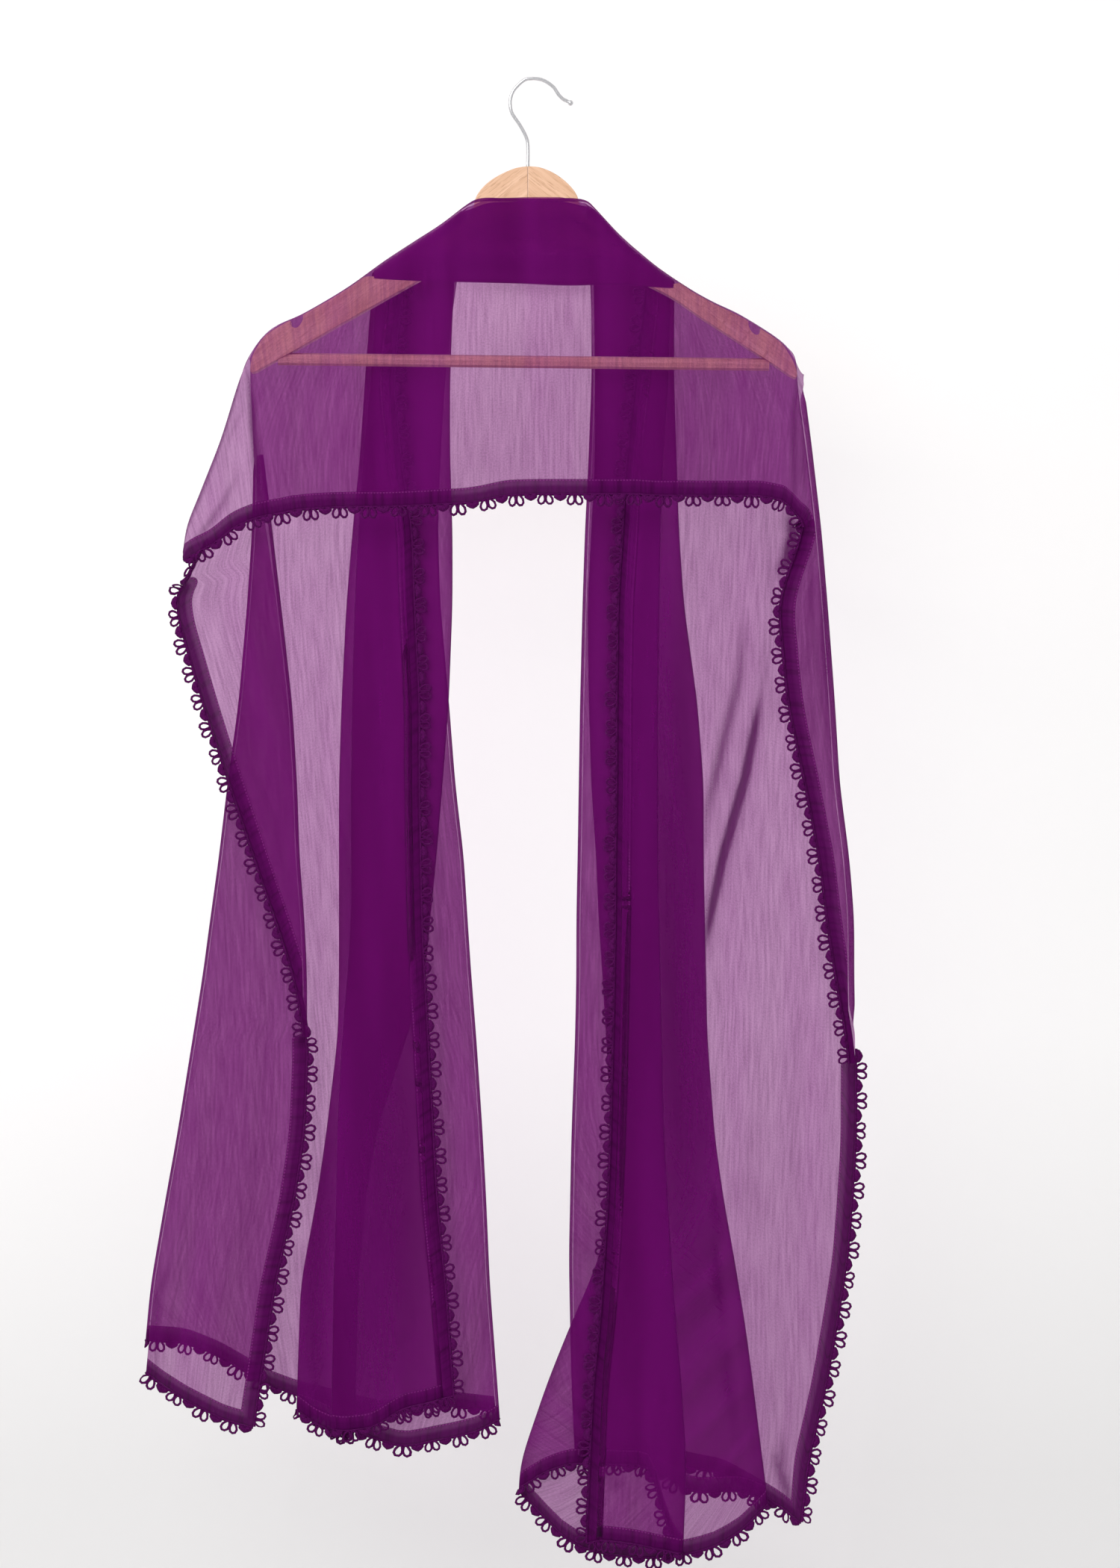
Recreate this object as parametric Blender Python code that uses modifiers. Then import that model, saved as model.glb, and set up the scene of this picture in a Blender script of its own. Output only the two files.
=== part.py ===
"""A dupatta stole on a wooden hanger, modelled in Blender.

One chiffon length hangs in front of the hanger as a yoke, is pleated into a
collar across the hanger's neck and falls behind it as two pleated panels.
Every table is in millimetres: across to the right, down from the inside top of
the hook's bend, and depth away from the camera. The hook's seat is the origin.
"""

import math
from collections import namedtuple

import bpy
from mathutils import Vector

NAME = "dupatta_stole_on_hanger"
MM = 0.001

CLOTH_WALL = 1.0
HEM_WALL = 1.8
HEM_WIDTH = 11.5
HEM_STEP = 1.0
SEAM = 0.3
FOLD_RADIUS = 2.6
LACE_WALL = 0.9
LACE_REPEAT = 23.5
LACE_DEEP = 9.0
LACE_SHALLOW = 4.5
LACE_GAP = 0.5

WOOD_HALF = 6.0
WOOD_BEVEL = 1.6
WOOD_JOINT = -3.0
BAR_RADIUS = 5.0
BAR_ENDS = (-204.0, 191.0)
WIRE_RADIUS = 1.5
TIP_RADIUS = 2.3

# Layers are numbered from the hanger outward: 0 is the pleat with the long
# hem, 3 the pleat beside the outer sheet, and 4 the outer sheet itself.
NEAR_FIRST = 8.0
NEAR_PITCH = 2.2
LIFT_PITCH = 2.0
CURL_FIRST = 4.0
HANG_FIRST = 9.6
HANG_PITCH = 3.3
OUTER = 4

Sheet = namedtuple("Sheet", "start end foot radius inset own neighbour shut")

LEFT_COLUMNS = ("down", "edge", "turn", "fold_1", "fold_2", "fold_3", "fold_4", "fold_5", "fold_6", "hem")
LEFT_SECTIONS = (
    (100, -279, -229, -226, -226, -52, -127, -56, -124, -103),
    (165, -279, -229, -226, -226, -61, -129, -63, -125, -104),
    (240, -279, -233, -226, -227, -70, -135, -66, -130, -112),
    (300, -279, -250, -216, -225, -74, -139, -66, -136, -106),
    (360, -279, -275, -209, -226, -76, -145, -64, -140, -97),
    (420, -286, -287, -202, -230, -74, -150, -64, -143, -95),
    (500, -263, -264, -193, -237, -67, -154, -67, -145, -91),
    (565, -242, -243, -189, -246, -62, -156, -72, -146, -91),
    (625, -222, -223, -187, -253, -55, -156, -77, -146, -90),
    (675, -205, -206, -183, -260, -52, -156, -82, -146, -89),
    (720, -190, -191, -181, -266, -49, -156, -86, -149, -87),
    (770, -182, -182, -181, -274, -45, -157, -101, -153, -84),
    (845, -184, -184, -184, -286, -40, -166, -125, -157, -80),
    (900, -192, -192, -192, -296, -37, -174, -134, -158, -77),
    (970, -208, -208, -208, -308, -34, -187, -140, -160, -70),
    (1090, -226, -226, -226, -319, -25, -191, -143, -162, -61),
)
RIGHT_COLUMNS = ("down", "edge", "turn", "fold_3", "fold_4", "fold_5", "fold_6", "hem")
RIGHT_SECTIONS = (
    (100, 219, 215, 44, 115, 48, 111, 92),
    (165, 219, 215, 47, 115, 50, 112, 92),
    (240, 219, 219, 48, 115, 51, 110, 84),
    (300, 219, 226, 46, 117, 51, 106, 77),
    (360, 219, 233, 43, 119, 48, 104, 74),
    (420, 198, 238, 41, 123, 45, 103, 70),
    (500, 206, 244, 39, 134, 46, 102, 69),
    (565, 220, 248, 38, 139, 48, 102, 69),
    (625, 232, 256, 37, 139, 52, 102, 68),
    (675, 238, 260, 36, 140, 54, 103, 68),
    (720, 245, 260, 36, 141, 57, 104, 67),
    (770, 254, 261, 35, 142, 60, 105, 66),
    (850, 261, 261, 32, 148, 64, 107, 64),
    (900, 258, 258, 31, 155, 63, 110, 62),
    (950, 254, 254, 30, 164, 54, 113, 59),
    (1005, 245, 245, 31, 173, 30, 117, 55),
    (1050, 237, 237, 32, 179, 12, 121, 50),
    (1115, 222, 222, 35, 187, -10, 125, 47),
    (1190, 215, 215, 35, 197, -12, 122, 44),
)

# The silhouette of the cloth over each arm, as (across, down).
LEFT_ARM = (
    (-230, 236), (-229.5, 230), (-226, 221), (-221, 212), (-214, 204), (-203, 196), (-185, 188), (-162, 175),
    (-143, 163), (-118, 145), (-92, 128), (-73, 116), (-52, 101), (-44, 98),
)
RIGHT_ARM = (
    (36, 96), (44, 98), (52, 105), (67, 120.6), (79, 132), (103, 151.4), (128, 168), (146, 178),
    (167, 188), (193, 204), (203, 212), (209, 219), (213, 227), (216.5, 236.5),
)

# Lower edges of the hanging layers, as (across, down).
LEFT_ENDS = {
    "tuck": ((-319, 1032), (-301, 1048), (-277, 1063), (-247, 1078), (-226, 1084)),
    "back": ((-319, 1014), (-280, 1017), (-253, 1028), (-215, 1051), (-191, 1060), (-122, 1077), (-73, 1068), (-25, 1074)),
    3: ((-191, 1068), (-139, 1090), (-104, 1101), (-73, 1095), (-42, 1088), (-25, 1077)),
    2: ((-191, 1068), (-178, 1080), (-155, 1090), (-143, 1088)),
    1: ((-162, 1084), (-150, 1089), (-143, 1088)),
    0: ((-162, 1084), (-155, 1087), (-129, 1084), (-104, 1068), (-83, 1064), (-61, 1057)),
}
RIGHT_ENDS = {
    "back": ((35, 1108), (95, 1110), (126, 1118), (156, 1124), (195, 1146), (218, 1162)),
    3: ((35, 1108), (95, 1116), (130, 1138), (170, 1136), (191, 1145)),
    2: ((-12, 1134), (-6, 1138), (6, 1153), (29, 1176), (53, 1186), (86, 1190), (116, 1189), (146, 1182), (170, 1168), (191, 1145)),
    1: ((-12, 1134), (-6, 1131), (6, 1122), (30, 1113), (98, 1115), (107, 1157), (114, 1178), (122, 1184)),
    0: ((44, 1178), (53, 1174), (86, 1178), (122, 1186)),
}

# The yoke, a row for each of its lines from the fold down to the hem; pleats is
# 1 where the pleated band lies behind its upper edge.
YOKE_COLUMNS = ("top", "top_down", "foot", "foot_down", "upper_edge", "pleats")
YOKE_LINES = (
    (-271, 371, -268, 377, "side", 0.0),
    (-267, 355, -257, 374, "side", 0.0),
    (-258, 331, -244, 364, "side", 0.0),
    (-243, 295, -229, 356, "side", 0.0),
    (-231, 252, -217, 352, "side", 0.0),
    (-229.5, 233, -208, 349, "over", 0.0),
    (-224, 217, -201, 348, "over", 0.0),
    (-214, 204, -192, 346, "over", 0.0),
    (-203, 196, -184, 345, "over", 0.0),
    (-185, 188, -172, 344, "over", 0.0),
    (-162, 175, -153, 343, "over", 0.0),
    (-143, 163, -137, 343, "over", 0.5),
    (-118, 145, -115, 343, "over", 1.0),
    (-92, 128, -90, 342, "over", 1.0),
    (-73, 116, -72, 341, "over", 1.0),
    (-52, 101, -54, 340, "over", 1.0),
    (-40, 97, -40, 338, "fold", 1.0),
    (-20, 97, -20, 334, "fold", 1.0),
    (3, 97, 3, 333, "fold", 1.0),
    (22, 97, 22, 333, "fold", 1.0),
    (33, 97, 34, 333, "fold", 1.0),
    (44, 98, 46, 333, "over", 1.0),
    (52, 105, 54, 333, "over", 1.0),
    (67, 120.6, 68, 333, "over", 1.0),
    (75, 128.2, 75, 333, "over", 1.0),
    (84, 136, 84, 333, "over", 1.0),
    (103, 151.4, 101, 334, "over", 1.0),
    (128, 168, 124, 334, "over", 0.5),
    (146, 178, 142, 334, "over", 0.0),
    (167, 188, 160, 334, "over", 0.0),
    (193, 204, 180, 334, "over", 0.0),
    (205, 214, 193, 336, "over", 0.0),
    (212, 225, 201, 338, "over", 0.0),
    (214, 252, 206, 342, "side", 0.0),
    (217.5, 278, 209, 345, "side", 0.0),
    (221, 305, 213, 350, "side", 0.0),
    (225, 338, 217, 355, "side", 0.0),
    (227, 359.2, 218, 359.7, "side", 0.0),
)

# The collar's lines from its upper fold to its lower one; turn is 0 over the
# arm and 90 degrees in front of it, open is how far the upper edge stands clear
# of the outer sheet, and over marks the lines that follow the arm's top.
COLLAR_COLUMNS = ("top", "top_down", "foot", "foot_down", "turn", "open", "over")
COLLAR_LINES = (
    (-52, 101, -128, 151, 0, 6, True),
    (-51.5, 101, -127.5, 151.5, 15, 6, True),
    (-50, 101, -126, 152.5, 45, 6, True),
    (-48, 100.5, -123, 155, 90, 6, True),
    (-34, 97.5, -88, 163, 90, 3, False),
    (-15, 97, -45, 164, 90, 3, False),
    (0, 97, -8, 164, 90, 3, False),
    (14, 97, 28, 164, 90, 3, False),
    (26, 97, 66, 164, 90, 3, False),
    (40, 98, 110, 161, 90, 6, True),
    (42, 98, 112.5, 158.5, 45, 6, True),
    (43.5, 98, 114.5, 156.5, 15, 6, True),
    (44, 98, 115, 156, 0, 6, True),
)
INNER_PLEAT = 0.05
LONG_HEM_AT = 0.67

# The hook's wire, as (across, down) on its centre line.
HOOK_ROUTE = (
    (-3.0, 69.1), (-3.0, 52.0), (-4.8, 44.5), (-9.6, 35.5), (-15.6, 26.5), (-17.2, 19.5), (-16.8, 13.8),
    (-14.4, 7.8), (-9.6, 2.4), (-5.0, -0.9), (0.0, -1.7), (5.0, -1.4), (9.5, -0.2), (14.4, 2.6),
    (18.2, 6.0), (21.5, 11.0), (25.0, 14.6), (28.9, 16.7),
)


def place(across, down, depth):
    return Vector((across, depth, -down)) * MM


def between(first, second, part):
    return first + (second - first) * part


def read(points, at):
    """Value at a place along a list of (place, value) points."""
    ordered = sorted(points)
    if at <= ordered[0][0]:
        return ordered[0][1]
    for (low, first), (high, second) in zip(ordered, ordered[1:]):
        if at <= high:
            return between(first, second, (at - low) / (high - low))
    return ordered[-1][1]


def rails(columns, sections):
    """A function of down for each named column."""
    table = {}
    for column, name in enumerate(columns[1:], start=1):
        table[name] = tuple((row[0], row[column]) for row in sections)
    return table


def smooth(part):
    part = min(1.0, max(0.0, part))
    return part * part * (3 - 2 * part)


def material(name, colour, roughness, metallic=0.0):
    """A Principled material, with its colour as linear RGB."""
    made = bpy.data.materials.new(name)
    made.use_nodes = True
    shader = made.node_tree.nodes["Principled BSDF"]
    shader.inputs["Base Color"].default_value = (*colour, 1.0)
    shader.inputs["Roughness"].default_value = roughness
    shader.inputs["Metallic"].default_value = metallic
    made.diffuse_color = (*colour, 1.0)
    return made


def add(name, data, finish, collection):
    made = bpy.data.objects.new(name, data)
    collection.objects.link(made)
    data.materials.append(finish)
    return made


def cloth(name, grid, thick, wall, finish, collection):
    """An open surface with Solidify, with thicker hems by vertex group."""
    rows = len(grid)
    columns = len(grid[0])
    mesh = bpy.data.meshes.new(name)
    points = [point for row in grid for point in row]
    faces = []
    for row in range(rows - 1):
        for column in range(columns - 1):
            corner = row * columns + column
            faces.append((corner, corner + 1, corner + columns + 1, corner + columns))
    mesh.from_pydata(points, [], faces)
    made = add(name, mesh, finish, collection)
    group = made.vertex_groups.new(name="hem")
    for row in range(rows):
        for column in range(columns):
            weight = 1.0 if thick(row, column) else CLOTH_WALL / HEM_WALL
            group.add([row * columns + column], weight, "REPLACE")
    shell = made.modifiers.new("wall", "SOLIDIFY")
    shell.thickness = wall * MM
    shell.offset = 0.0
    shell.vertex_group = "hem"
    return made


def fold_columns(count=5):
    """The steps round a fold, from the neighbour's side to the sheet's own."""
    return [("turn", step / (count - 1)) for step in range(count)]


def edge_columns():
    return [("edge", 0.0), ("edge", HEM_WIDTH), ("edge", HEM_WIDTH + HEM_STEP)]


def flat_columns(count):
    return [("flat", step / (count + 1)) for step in range(1, count + 1)]


class Panel:
    """One hanging side of the stole, with its fold lines and lower edges."""

    def __init__(self, columns, sections, arm, ends, last_level):
        self.rails = rails(columns, sections)
        self.arm = arm
        self.ends = ends
        self.last_level = last_level

    def rail(self, name, down):
        return read(self.rails[name], down)

    def band_zone(self, across):
        """1 where the pleated band passes over the arm, and 0 outside it."""
        away = abs(across)
        return 1.0 - smooth((away - 138) / 24)

    def level(self, row, across, foot, outer):
        """How far down a row of the grid lies at a place across."""
        kind, value = row
        top = read(self.arm, across)
        curl = CURL_FIRST + LIFT_PITCH * OUTER * (self.band_zone(across) if outer else 1.0)
        if kind == "arm":
            return top
        if kind == "drop":
            return between(top + curl, 300.0, value)
        if kind == "level":
            return value
        low = read(self.ends[foot], across)
        if kind == "foot":
            return low - value
        return between(self.last_level, low - HEM_WIDTH - HEM_STEP, value)

    def start_down(self, row):
        """A first guess of a row's level, for finding its fold lines."""
        kind, value = row
        if kind == "level":
            return value
        return 200.0 if kind in ("arm", "drop") else self.last_level


ARM_ROWS = [("arm", 0), ("arm", 15), ("arm", 45), ("arm", 90), ("drop", 0.4), ("drop", 0.75)]
FOOT_ROWS = [("last", 0.5), ("foot", HEM_WIDTH + HEM_STEP), ("foot", HEM_WIDTH), ("foot", 0.0)]


def hanging(row):
    """How far a row has passed from the arm's side to its free hanging place."""
    kind, value = row
    return {"arm": 0.0, "drop": smooth(value)}.get(kind, 1.0)


def over_arm(turn, layer, outer_share=1.0):
    """Depth and drop of a layer at an angle of its turn over the arm."""
    angle = math.radians(turn)
    number = layer * outer_share
    near = NEAR_FIRST + NEAR_PITCH * number
    curl = CURL_FIRST + LIFT_PITCH * number
    lift = LIFT_PITCH * (OUTER - layer)
    return near * math.sin(angle), lift, curl * (1 - math.cos(angle))


def beside_neck(across):
    """1 well out along the arm, less where the yoke turns into the neck's fold."""
    return between(0.15, 1.0, smooth((abs(across) - 44) / 60))


def band_rails(layer):
    """The fold lines that a pleat of the band runs between, start first."""
    return {3: ("fold_3", "fold_4"), 2: ("fold_4", "fold_5"), 1: ("fold_5", "fold_6"), 0: ("fold_6", "hem")}[layer]


def band_columns(flats):
    """Columns right across the four pleats of the band."""
    columns = []
    for layer in (3, 2, 1, 0):
        columns += [(layer, kind, value) for kind, value in fold_columns()]
        columns += [(layer, kind, value) for kind, value in flat_columns(flats if layer == 3 else 1)]
    return columns + [(0, "far", HEM_WIDTH + HEM_STEP), (0, "far", HEM_WIDTH), (0, "far", 0.0)]


def band_spot(column, start, end, shut, clear):
    """Place across between two folds, and the layer number, for one column."""
    layer, kind, value = column
    way = 1.0 if end > start else -1.0
    if kind == "turn":
        angle = math.pi * (value - 0.5)
        folded = FOLD_RADIUS * (1 - math.cos(angle))
        bent = 0.5 - 0.5 * math.sin(angle)
        if layer == 3:
            opened = clear + FOLD_RADIUS * value
            return start + way * between(opened, folded, shut), layer + shut * bent
        return start + way * folded, layer + bent
    if kind == "far":
        return end - way * value, layer
    return between(start + way * FOLD_RADIUS, end - way * FOLD_RADIUS, value), layer


def band_point(panel, row, column):
    """A point of the hanging band, from its row and column."""
    hang = hanging(row)
    down = panel.start_down(row)
    for _ in range(4):
        start, end = [panel.rail(name, down) for name in band_rails(column[0])]
        across, number = band_spot(column, start, end, hang, 6.0)
        down = panel.level(row, across, column[0], False)
        if row[0] in ("foot", "last") and number > column[0]:
            other = panel.level(row, across, min(column[0] + 1, 3), False)
            down = between(down, other, number - column[0])
    turn = row[1] if row[0] == "arm" else 90
    near, lift, curl = over_arm(turn, number)
    if row[0] == "arm":
        down += lift + curl
    depth = between(near, HANG_FIRST + HANG_PITCH * number, hang)
    return place(across, down, depth + SEAM / 2 * (row == ARM_ROWS[0]))


def band(panel, levels, name, finish, collection):
    """The pleated band that hangs behind one arm."""
    rows = ARM_ROWS + levels_of(levels) + FOOT_ROWS
    columns = band_columns(1)
    grid = [[band_point(panel, row, column) for column in columns] for row in rows]

    def thick(row, column):
        return rows[row] in FOOT_ROWS[2:] or columns[column][1:] in (("far", HEM_WIDTH), ("far", 0.0))

    cloth(name, grid, thick, HEM_WALL, finish, collection)
    return grid


def collar(finish, collection):
    """The same band across the front of the hanger's neck."""
    columns = band_columns(4)
    grid = []
    for top, top_down, foot, foot_down, turn, clear, over in COLLAR_LINES:
        length = math.hypot(foot - top, foot_down - top_down)
        stops = {
            "fold_3": 0.0,
            "fold_4": length,
            "fold_5": INNER_PLEAT * length,
            "fold_6": (1 - INNER_PLEAT) * length,
            "hem": LONG_HEM_AT * length,
        }
        arm = LEFT_ARM if top < 0 else RIGHT_ARM
        row = []
        for column in columns:
            start, end = [stops[name] for name in band_rails(column[0])]
            along, number = band_spot(column, start, end, 0.0, clear)
            across = between(top, foot, along / length)
            near, lift, curl = over_arm(turn, number)
            down = between(top_down, foot_down, along / length) + lift * (1 - along / length)
            if over:
                down = read(arm, across) + lift + curl * beside_neck(across)
            row.append(place(across, down, -near - SEAM * (turn == 0)))
        grid.append(row)

    def thick(row, column):
        return columns[column][1:] in (("far", HEM_WIDTH), ("far", 0.0))

    cloth("collar_band", grid, thick, HEM_WALL, finish, collection)
    return grid


def yoke_upper(edge, across, top_down, pleats):
    """Depth and level of the yoke's first four rows."""
    front = NEAR_FIRST + NEAR_PITCH * OUTER * pleats
    if edge == "over":
        rows = [over_arm(turn, OUTER, pleats) for turn in (0, 15, 45, 90)]
        return [(-near, top_down + curl * beside_neck(across)) for near, lift, curl in rows]
    if edge == "fold":
        half = NEAR_PITCH / 2
        turns = [math.radians(angle) for angle in (-90, -30, 30, 90)]
        return [(half - front - half * math.sin(t), top_down + FOLD_RADIUS * (1 - math.cos(t))) for t in turns]
    return [(-front, None)] * 4


def yoke(finish, collection):
    """The single layer that hangs in front, from the arms down to its hem."""
    rows = 9
    grid = [[] for _ in range(rows)]
    for top, top_down, foot, foot_down, edge, pleats in YOKE_LINES:
        front = NEAR_FIRST + NEAR_PITCH * OUTER * pleats
        length = math.hypot(foot - top, foot_down - top_down)
        upper = [min(reach / length, step / 12) for step, reach in enumerate((0.0, 3.5, 6.5, 12.0))]
        lower = [HEM_WIDTH + HEM_STEP, HEM_WIDTH, 0.0]
        lower = [1 - min(reach / length, (2 - step) / 6) for step, reach in enumerate(lower)]
        parts = upper + [between(upper[-1], lower[0], 0.33), between(upper[-1], lower[0], 0.66)] + lower
        foot_depth = between(front, 14.0, 0.6)
        depths = [-front, -between(front, foot_depth, 0.5)] + [-foot_depth] * 3
        first = yoke_upper(edge, top, top_down, pleats)
        for row in range(rows):
            across = between(top, foot, parts[row])
            down = between(top_down, foot_down, parts[row])
            depth = depths[row - 4]
            if row < 4:
                depth, level = first[row]
                down = down if level is None else level
                across = across if level is None else top
            grid[row].append(place(across, down, depth - SEAM / 2 * (row == 0 and edge == "over")))

    def thick(row, column):
        return row >= rows - 2

    cloth("yoke_front", grid, thick, HEM_WALL, finish, collection)
    return grid


def single_spot(sheet, column, start, end, shut):
    """Place across, and the share of its neighbour's depth, for one column."""
    kind, value = column
    way = 1.0 if end > start else -1.0
    inset = sheet.radius + SEAM
    last = end - way * sheet.inset
    narrow = abs(end - start) < 3 * HEM_WIDTH
    if kind == "turn":
        angle = math.pi * (value - 0.5)
        folded = start + way * sheet.radius * (1 - math.cos(angle))
        opened = start + way * sheet.radius * value
        return between(opened, folded, shut), shut * 0.5 * (1 - math.sin(angle))
    if kind == "edge":
        if narrow and value > 0:
            part = 0.12 if value < HEM_WIDTH + HEM_STEP else 0.3
            return between(start + way * inset, last, part), 0.0
        return start + way * value, 0.0
    first = start + way * (HEM_WIDTH + HEM_STEP)
    if narrow:
        first = between(start + way * inset, last, 0.4)
    return between(first, last, value), 0.0


def single_point(panel, row, column, sheet):
    """A point of a single hanging sheet whose first edge is a fold or is free."""
    down = panel.start_down(row)
    for _ in range(5):
        start, end = panel.rail(sheet.start, down), panel.rail(sheet.end, down)
        open_from, open_to = sheet.shut
        shut = smooth((down - open_from) / 20) * (1 - smooth((down - open_to) / 30))
        across, bent = single_spot(sheet, column, start, end, shut)
        down = panel.level(row, across, sheet.foot, True)
    depth = between(sheet.own(panel, across, down), sheet.neighbour(panel, across, down), bent)
    if row[0] in ("arm", "drop"):
        turn = row[1] if row[0] == "arm" else 90
        near, lift, curl = over_arm(turn, OUTER, panel.band_zone(across))
        depth = between(near, depth, hanging(row))
        down += curl * (row[0] == "arm")
    return place(across, down, depth + SEAM / 2 * (row == ARM_ROWS[0]))


def behind_band(panel, across, down, rail, side_depth):
    """Depth of the outer sheet, which lies behind the band and comes forward beyond it."""
    inner = abs(panel.rail("fold_4", down)) + 8
    outer = max(inner + 6, abs(panel.rail(rail, down)))
    return between(25.5, side_depth, smooth((abs(across) - inner) / (outer - inner)))


def back_left_depth(panel, across, down):
    return behind_band(panel, across, down, "fold_2", 20.0)


def back_right_depth(panel, across, down):
    return behind_band(panel, across, down, "turn", 12.0)


def tuck_depth(panel, across, down):
    return 11.5


def flap_depth(panel, across, down):
    return between(3.0, 6.0, smooth((down - 300) / 400))


def front_depth(panel, across, down):
    return between(-10.0, 5.0, smooth((down - 380) / 380))


def yoke_side_depth(panel, across, down):
    return -9.5


def single(panel, name, sheet, rows, hem_rows, flats, finish, collection, first="turn"):
    """One hanging layer: a fold or free hem at its first edge, a seam at its second."""
    columns = fold_columns() if first == "turn" else [("edge", 0.0)]
    columns += edge_columns()[1:] + [("flat", part) for part in flats]
    grid = [[single_point(panel, row, column, sheet) for column in columns] for row in rows]
    hem_column = columns.index(("edge", HEM_WIDTH))

    def thick(row, column):
        foot = rows[row] in FOOT_ROWS[2:]
        return foot or (hem_rows[0] <= row <= hem_rows[1] and column <= hem_column)

    cloth(name, grid, thick, HEM_WALL, finish, collection)
    return grid


def levels_of(values):
    return [("level", value) for value in values]


def trimmed(edge, inner, cut):
    """The same border without its first and last few millimetres."""
    first = between(edge[0], edge[1], min(0.5, cut * MM / (edge[1] - edge[0]).length))
    first_in = between(inner[0], inner[1], min(0.5, cut * MM / (edge[1] - edge[0]).length))
    last = between(edge[-1], edge[-2], min(0.5, cut * MM / (edge[-1] - edge[-2]).length))
    last_in = between(inner[-1], inner[-2], min(0.5, cut * MM / (edge[-1] - edge[-2]).length))
    return [first, *edge[1:-1], last], [first_in, *inner[1:-1], last_in]


def lace(name, edge, inner, finish, collection):
    """A scalloped strip beyond a border, on the border's own points."""
    edge, inner = trimmed(edge, inner, 2.5)
    half = LACE_REPEAT / 2 * MM
    rims = [[], []]
    tall = False
    for number in range(len(edge) - 1):
        steps = max(1, round((edge[number + 1] - edge[number]).length / half))
        for step in range(steps + (number == len(edge) - 2)):
            part = step / steps
            at = between(edge[number], edge[number + 1], part)
            back = between(inner[number], inner[number + 1], part)
            way = (at - back).normalized()
            slope = way.cross((edge[number + 1] - edge[number]).normalized()).length
            gap = LACE_GAP / max(0.25, slope)
            close = steps == 1 and (edge[number + 1] - edge[number]).length < 0.4 * half
            deep = LACE_DEEP if tall and not close else LACE_SHALLOW
            tall = not tall
            rims[0].append(at + way * gap * MM)
            rims[1].append(at + way * (gap + deep) * MM)
    cloth(name, rims, lambda row, column: True, LACE_WALL, finish, collection)


def column_of(grid, index):
    return [row[index] for row in grid]


def outline_curve(name, points, half, bevel, finish, collection):
    """A flat outline, as a filled curve stood upright in the XZ plane."""
    data = bpy.data.curves.new(name, "CURVE")
    data.dimensions = "2D"
    data.fill_mode = "BOTH"
    data.extrude = half * MM
    spline = data.splines.new("POLY")
    spline.points.add(len(points) - 1)
    for point, (across, down) in zip(spline.points, points):
        point.co = (across * MM, -down * MM, 0.0, 1.0)
    spline.use_cyclic_u = True
    made = add(name, data, finish, collection)
    made.rotation_euler = (math.pi / 2, 0.0, 0.0)
    weld = made.modifiers.new("weld", "WELD")
    weld.merge_threshold = 0.00005
    rounding = made.modifiers.new("rounding", "BEVEL")
    rounding.width = bevel * MM
    rounding.segments = 2
    rounding.limit_method = "ANGLE"
    rounding.angle_limit = math.radians(60)
    return made


def tube(name, points, radius, finish, collection):
    """A round rod or wire along its centre line."""
    data = bpy.data.curves.new(name, "CURVE")
    data.dimensions = "3D"
    data.bevel_depth = radius * MM
    data.bevel_resolution = 2
    data.use_fill_caps = True
    spline = data.splines.new("POLY")
    spline.points.add(len(points) - 1)
    for point, (across, down) in zip(spline.points, points):
        point.co = (across * MM, 0.0, -down * MM, 1.0)
    return add(name, data, finish, collection)


def wood_top(across):
    """The top edge of the wood, lower where the pleats pass over it."""
    arm = LEFT_ARM if across < 0 else RIGHT_ARM
    drop = between(3.2, 12.0, 1.0 - smooth((abs(across) - 138) / 24))
    return read(arm, across) + drop


def notch(middle, width, deep):
    """The strap notch in an arm's top edge, as (across, down) points."""
    half = width / 2
    offsets = ((-half, 0.0), (-half * 0.8, deep * 0.7), (0.0, deep), (half * 0.8, deep * 0.7), (half, 0.0))
    return [(middle + away, wood_top(middle + away) + low) for away, low in offsets]


def arc(middle, radius, centre_down, first, last, steps):
    """Points of the neck's round crest."""
    points = []
    for step in range(steps + 1):
        angle = math.radians(between(first, last, step / steps))
        points.append((middle + radius * math.sin(angle), centre_down - radius * math.cos(angle)))
    return points


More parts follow.
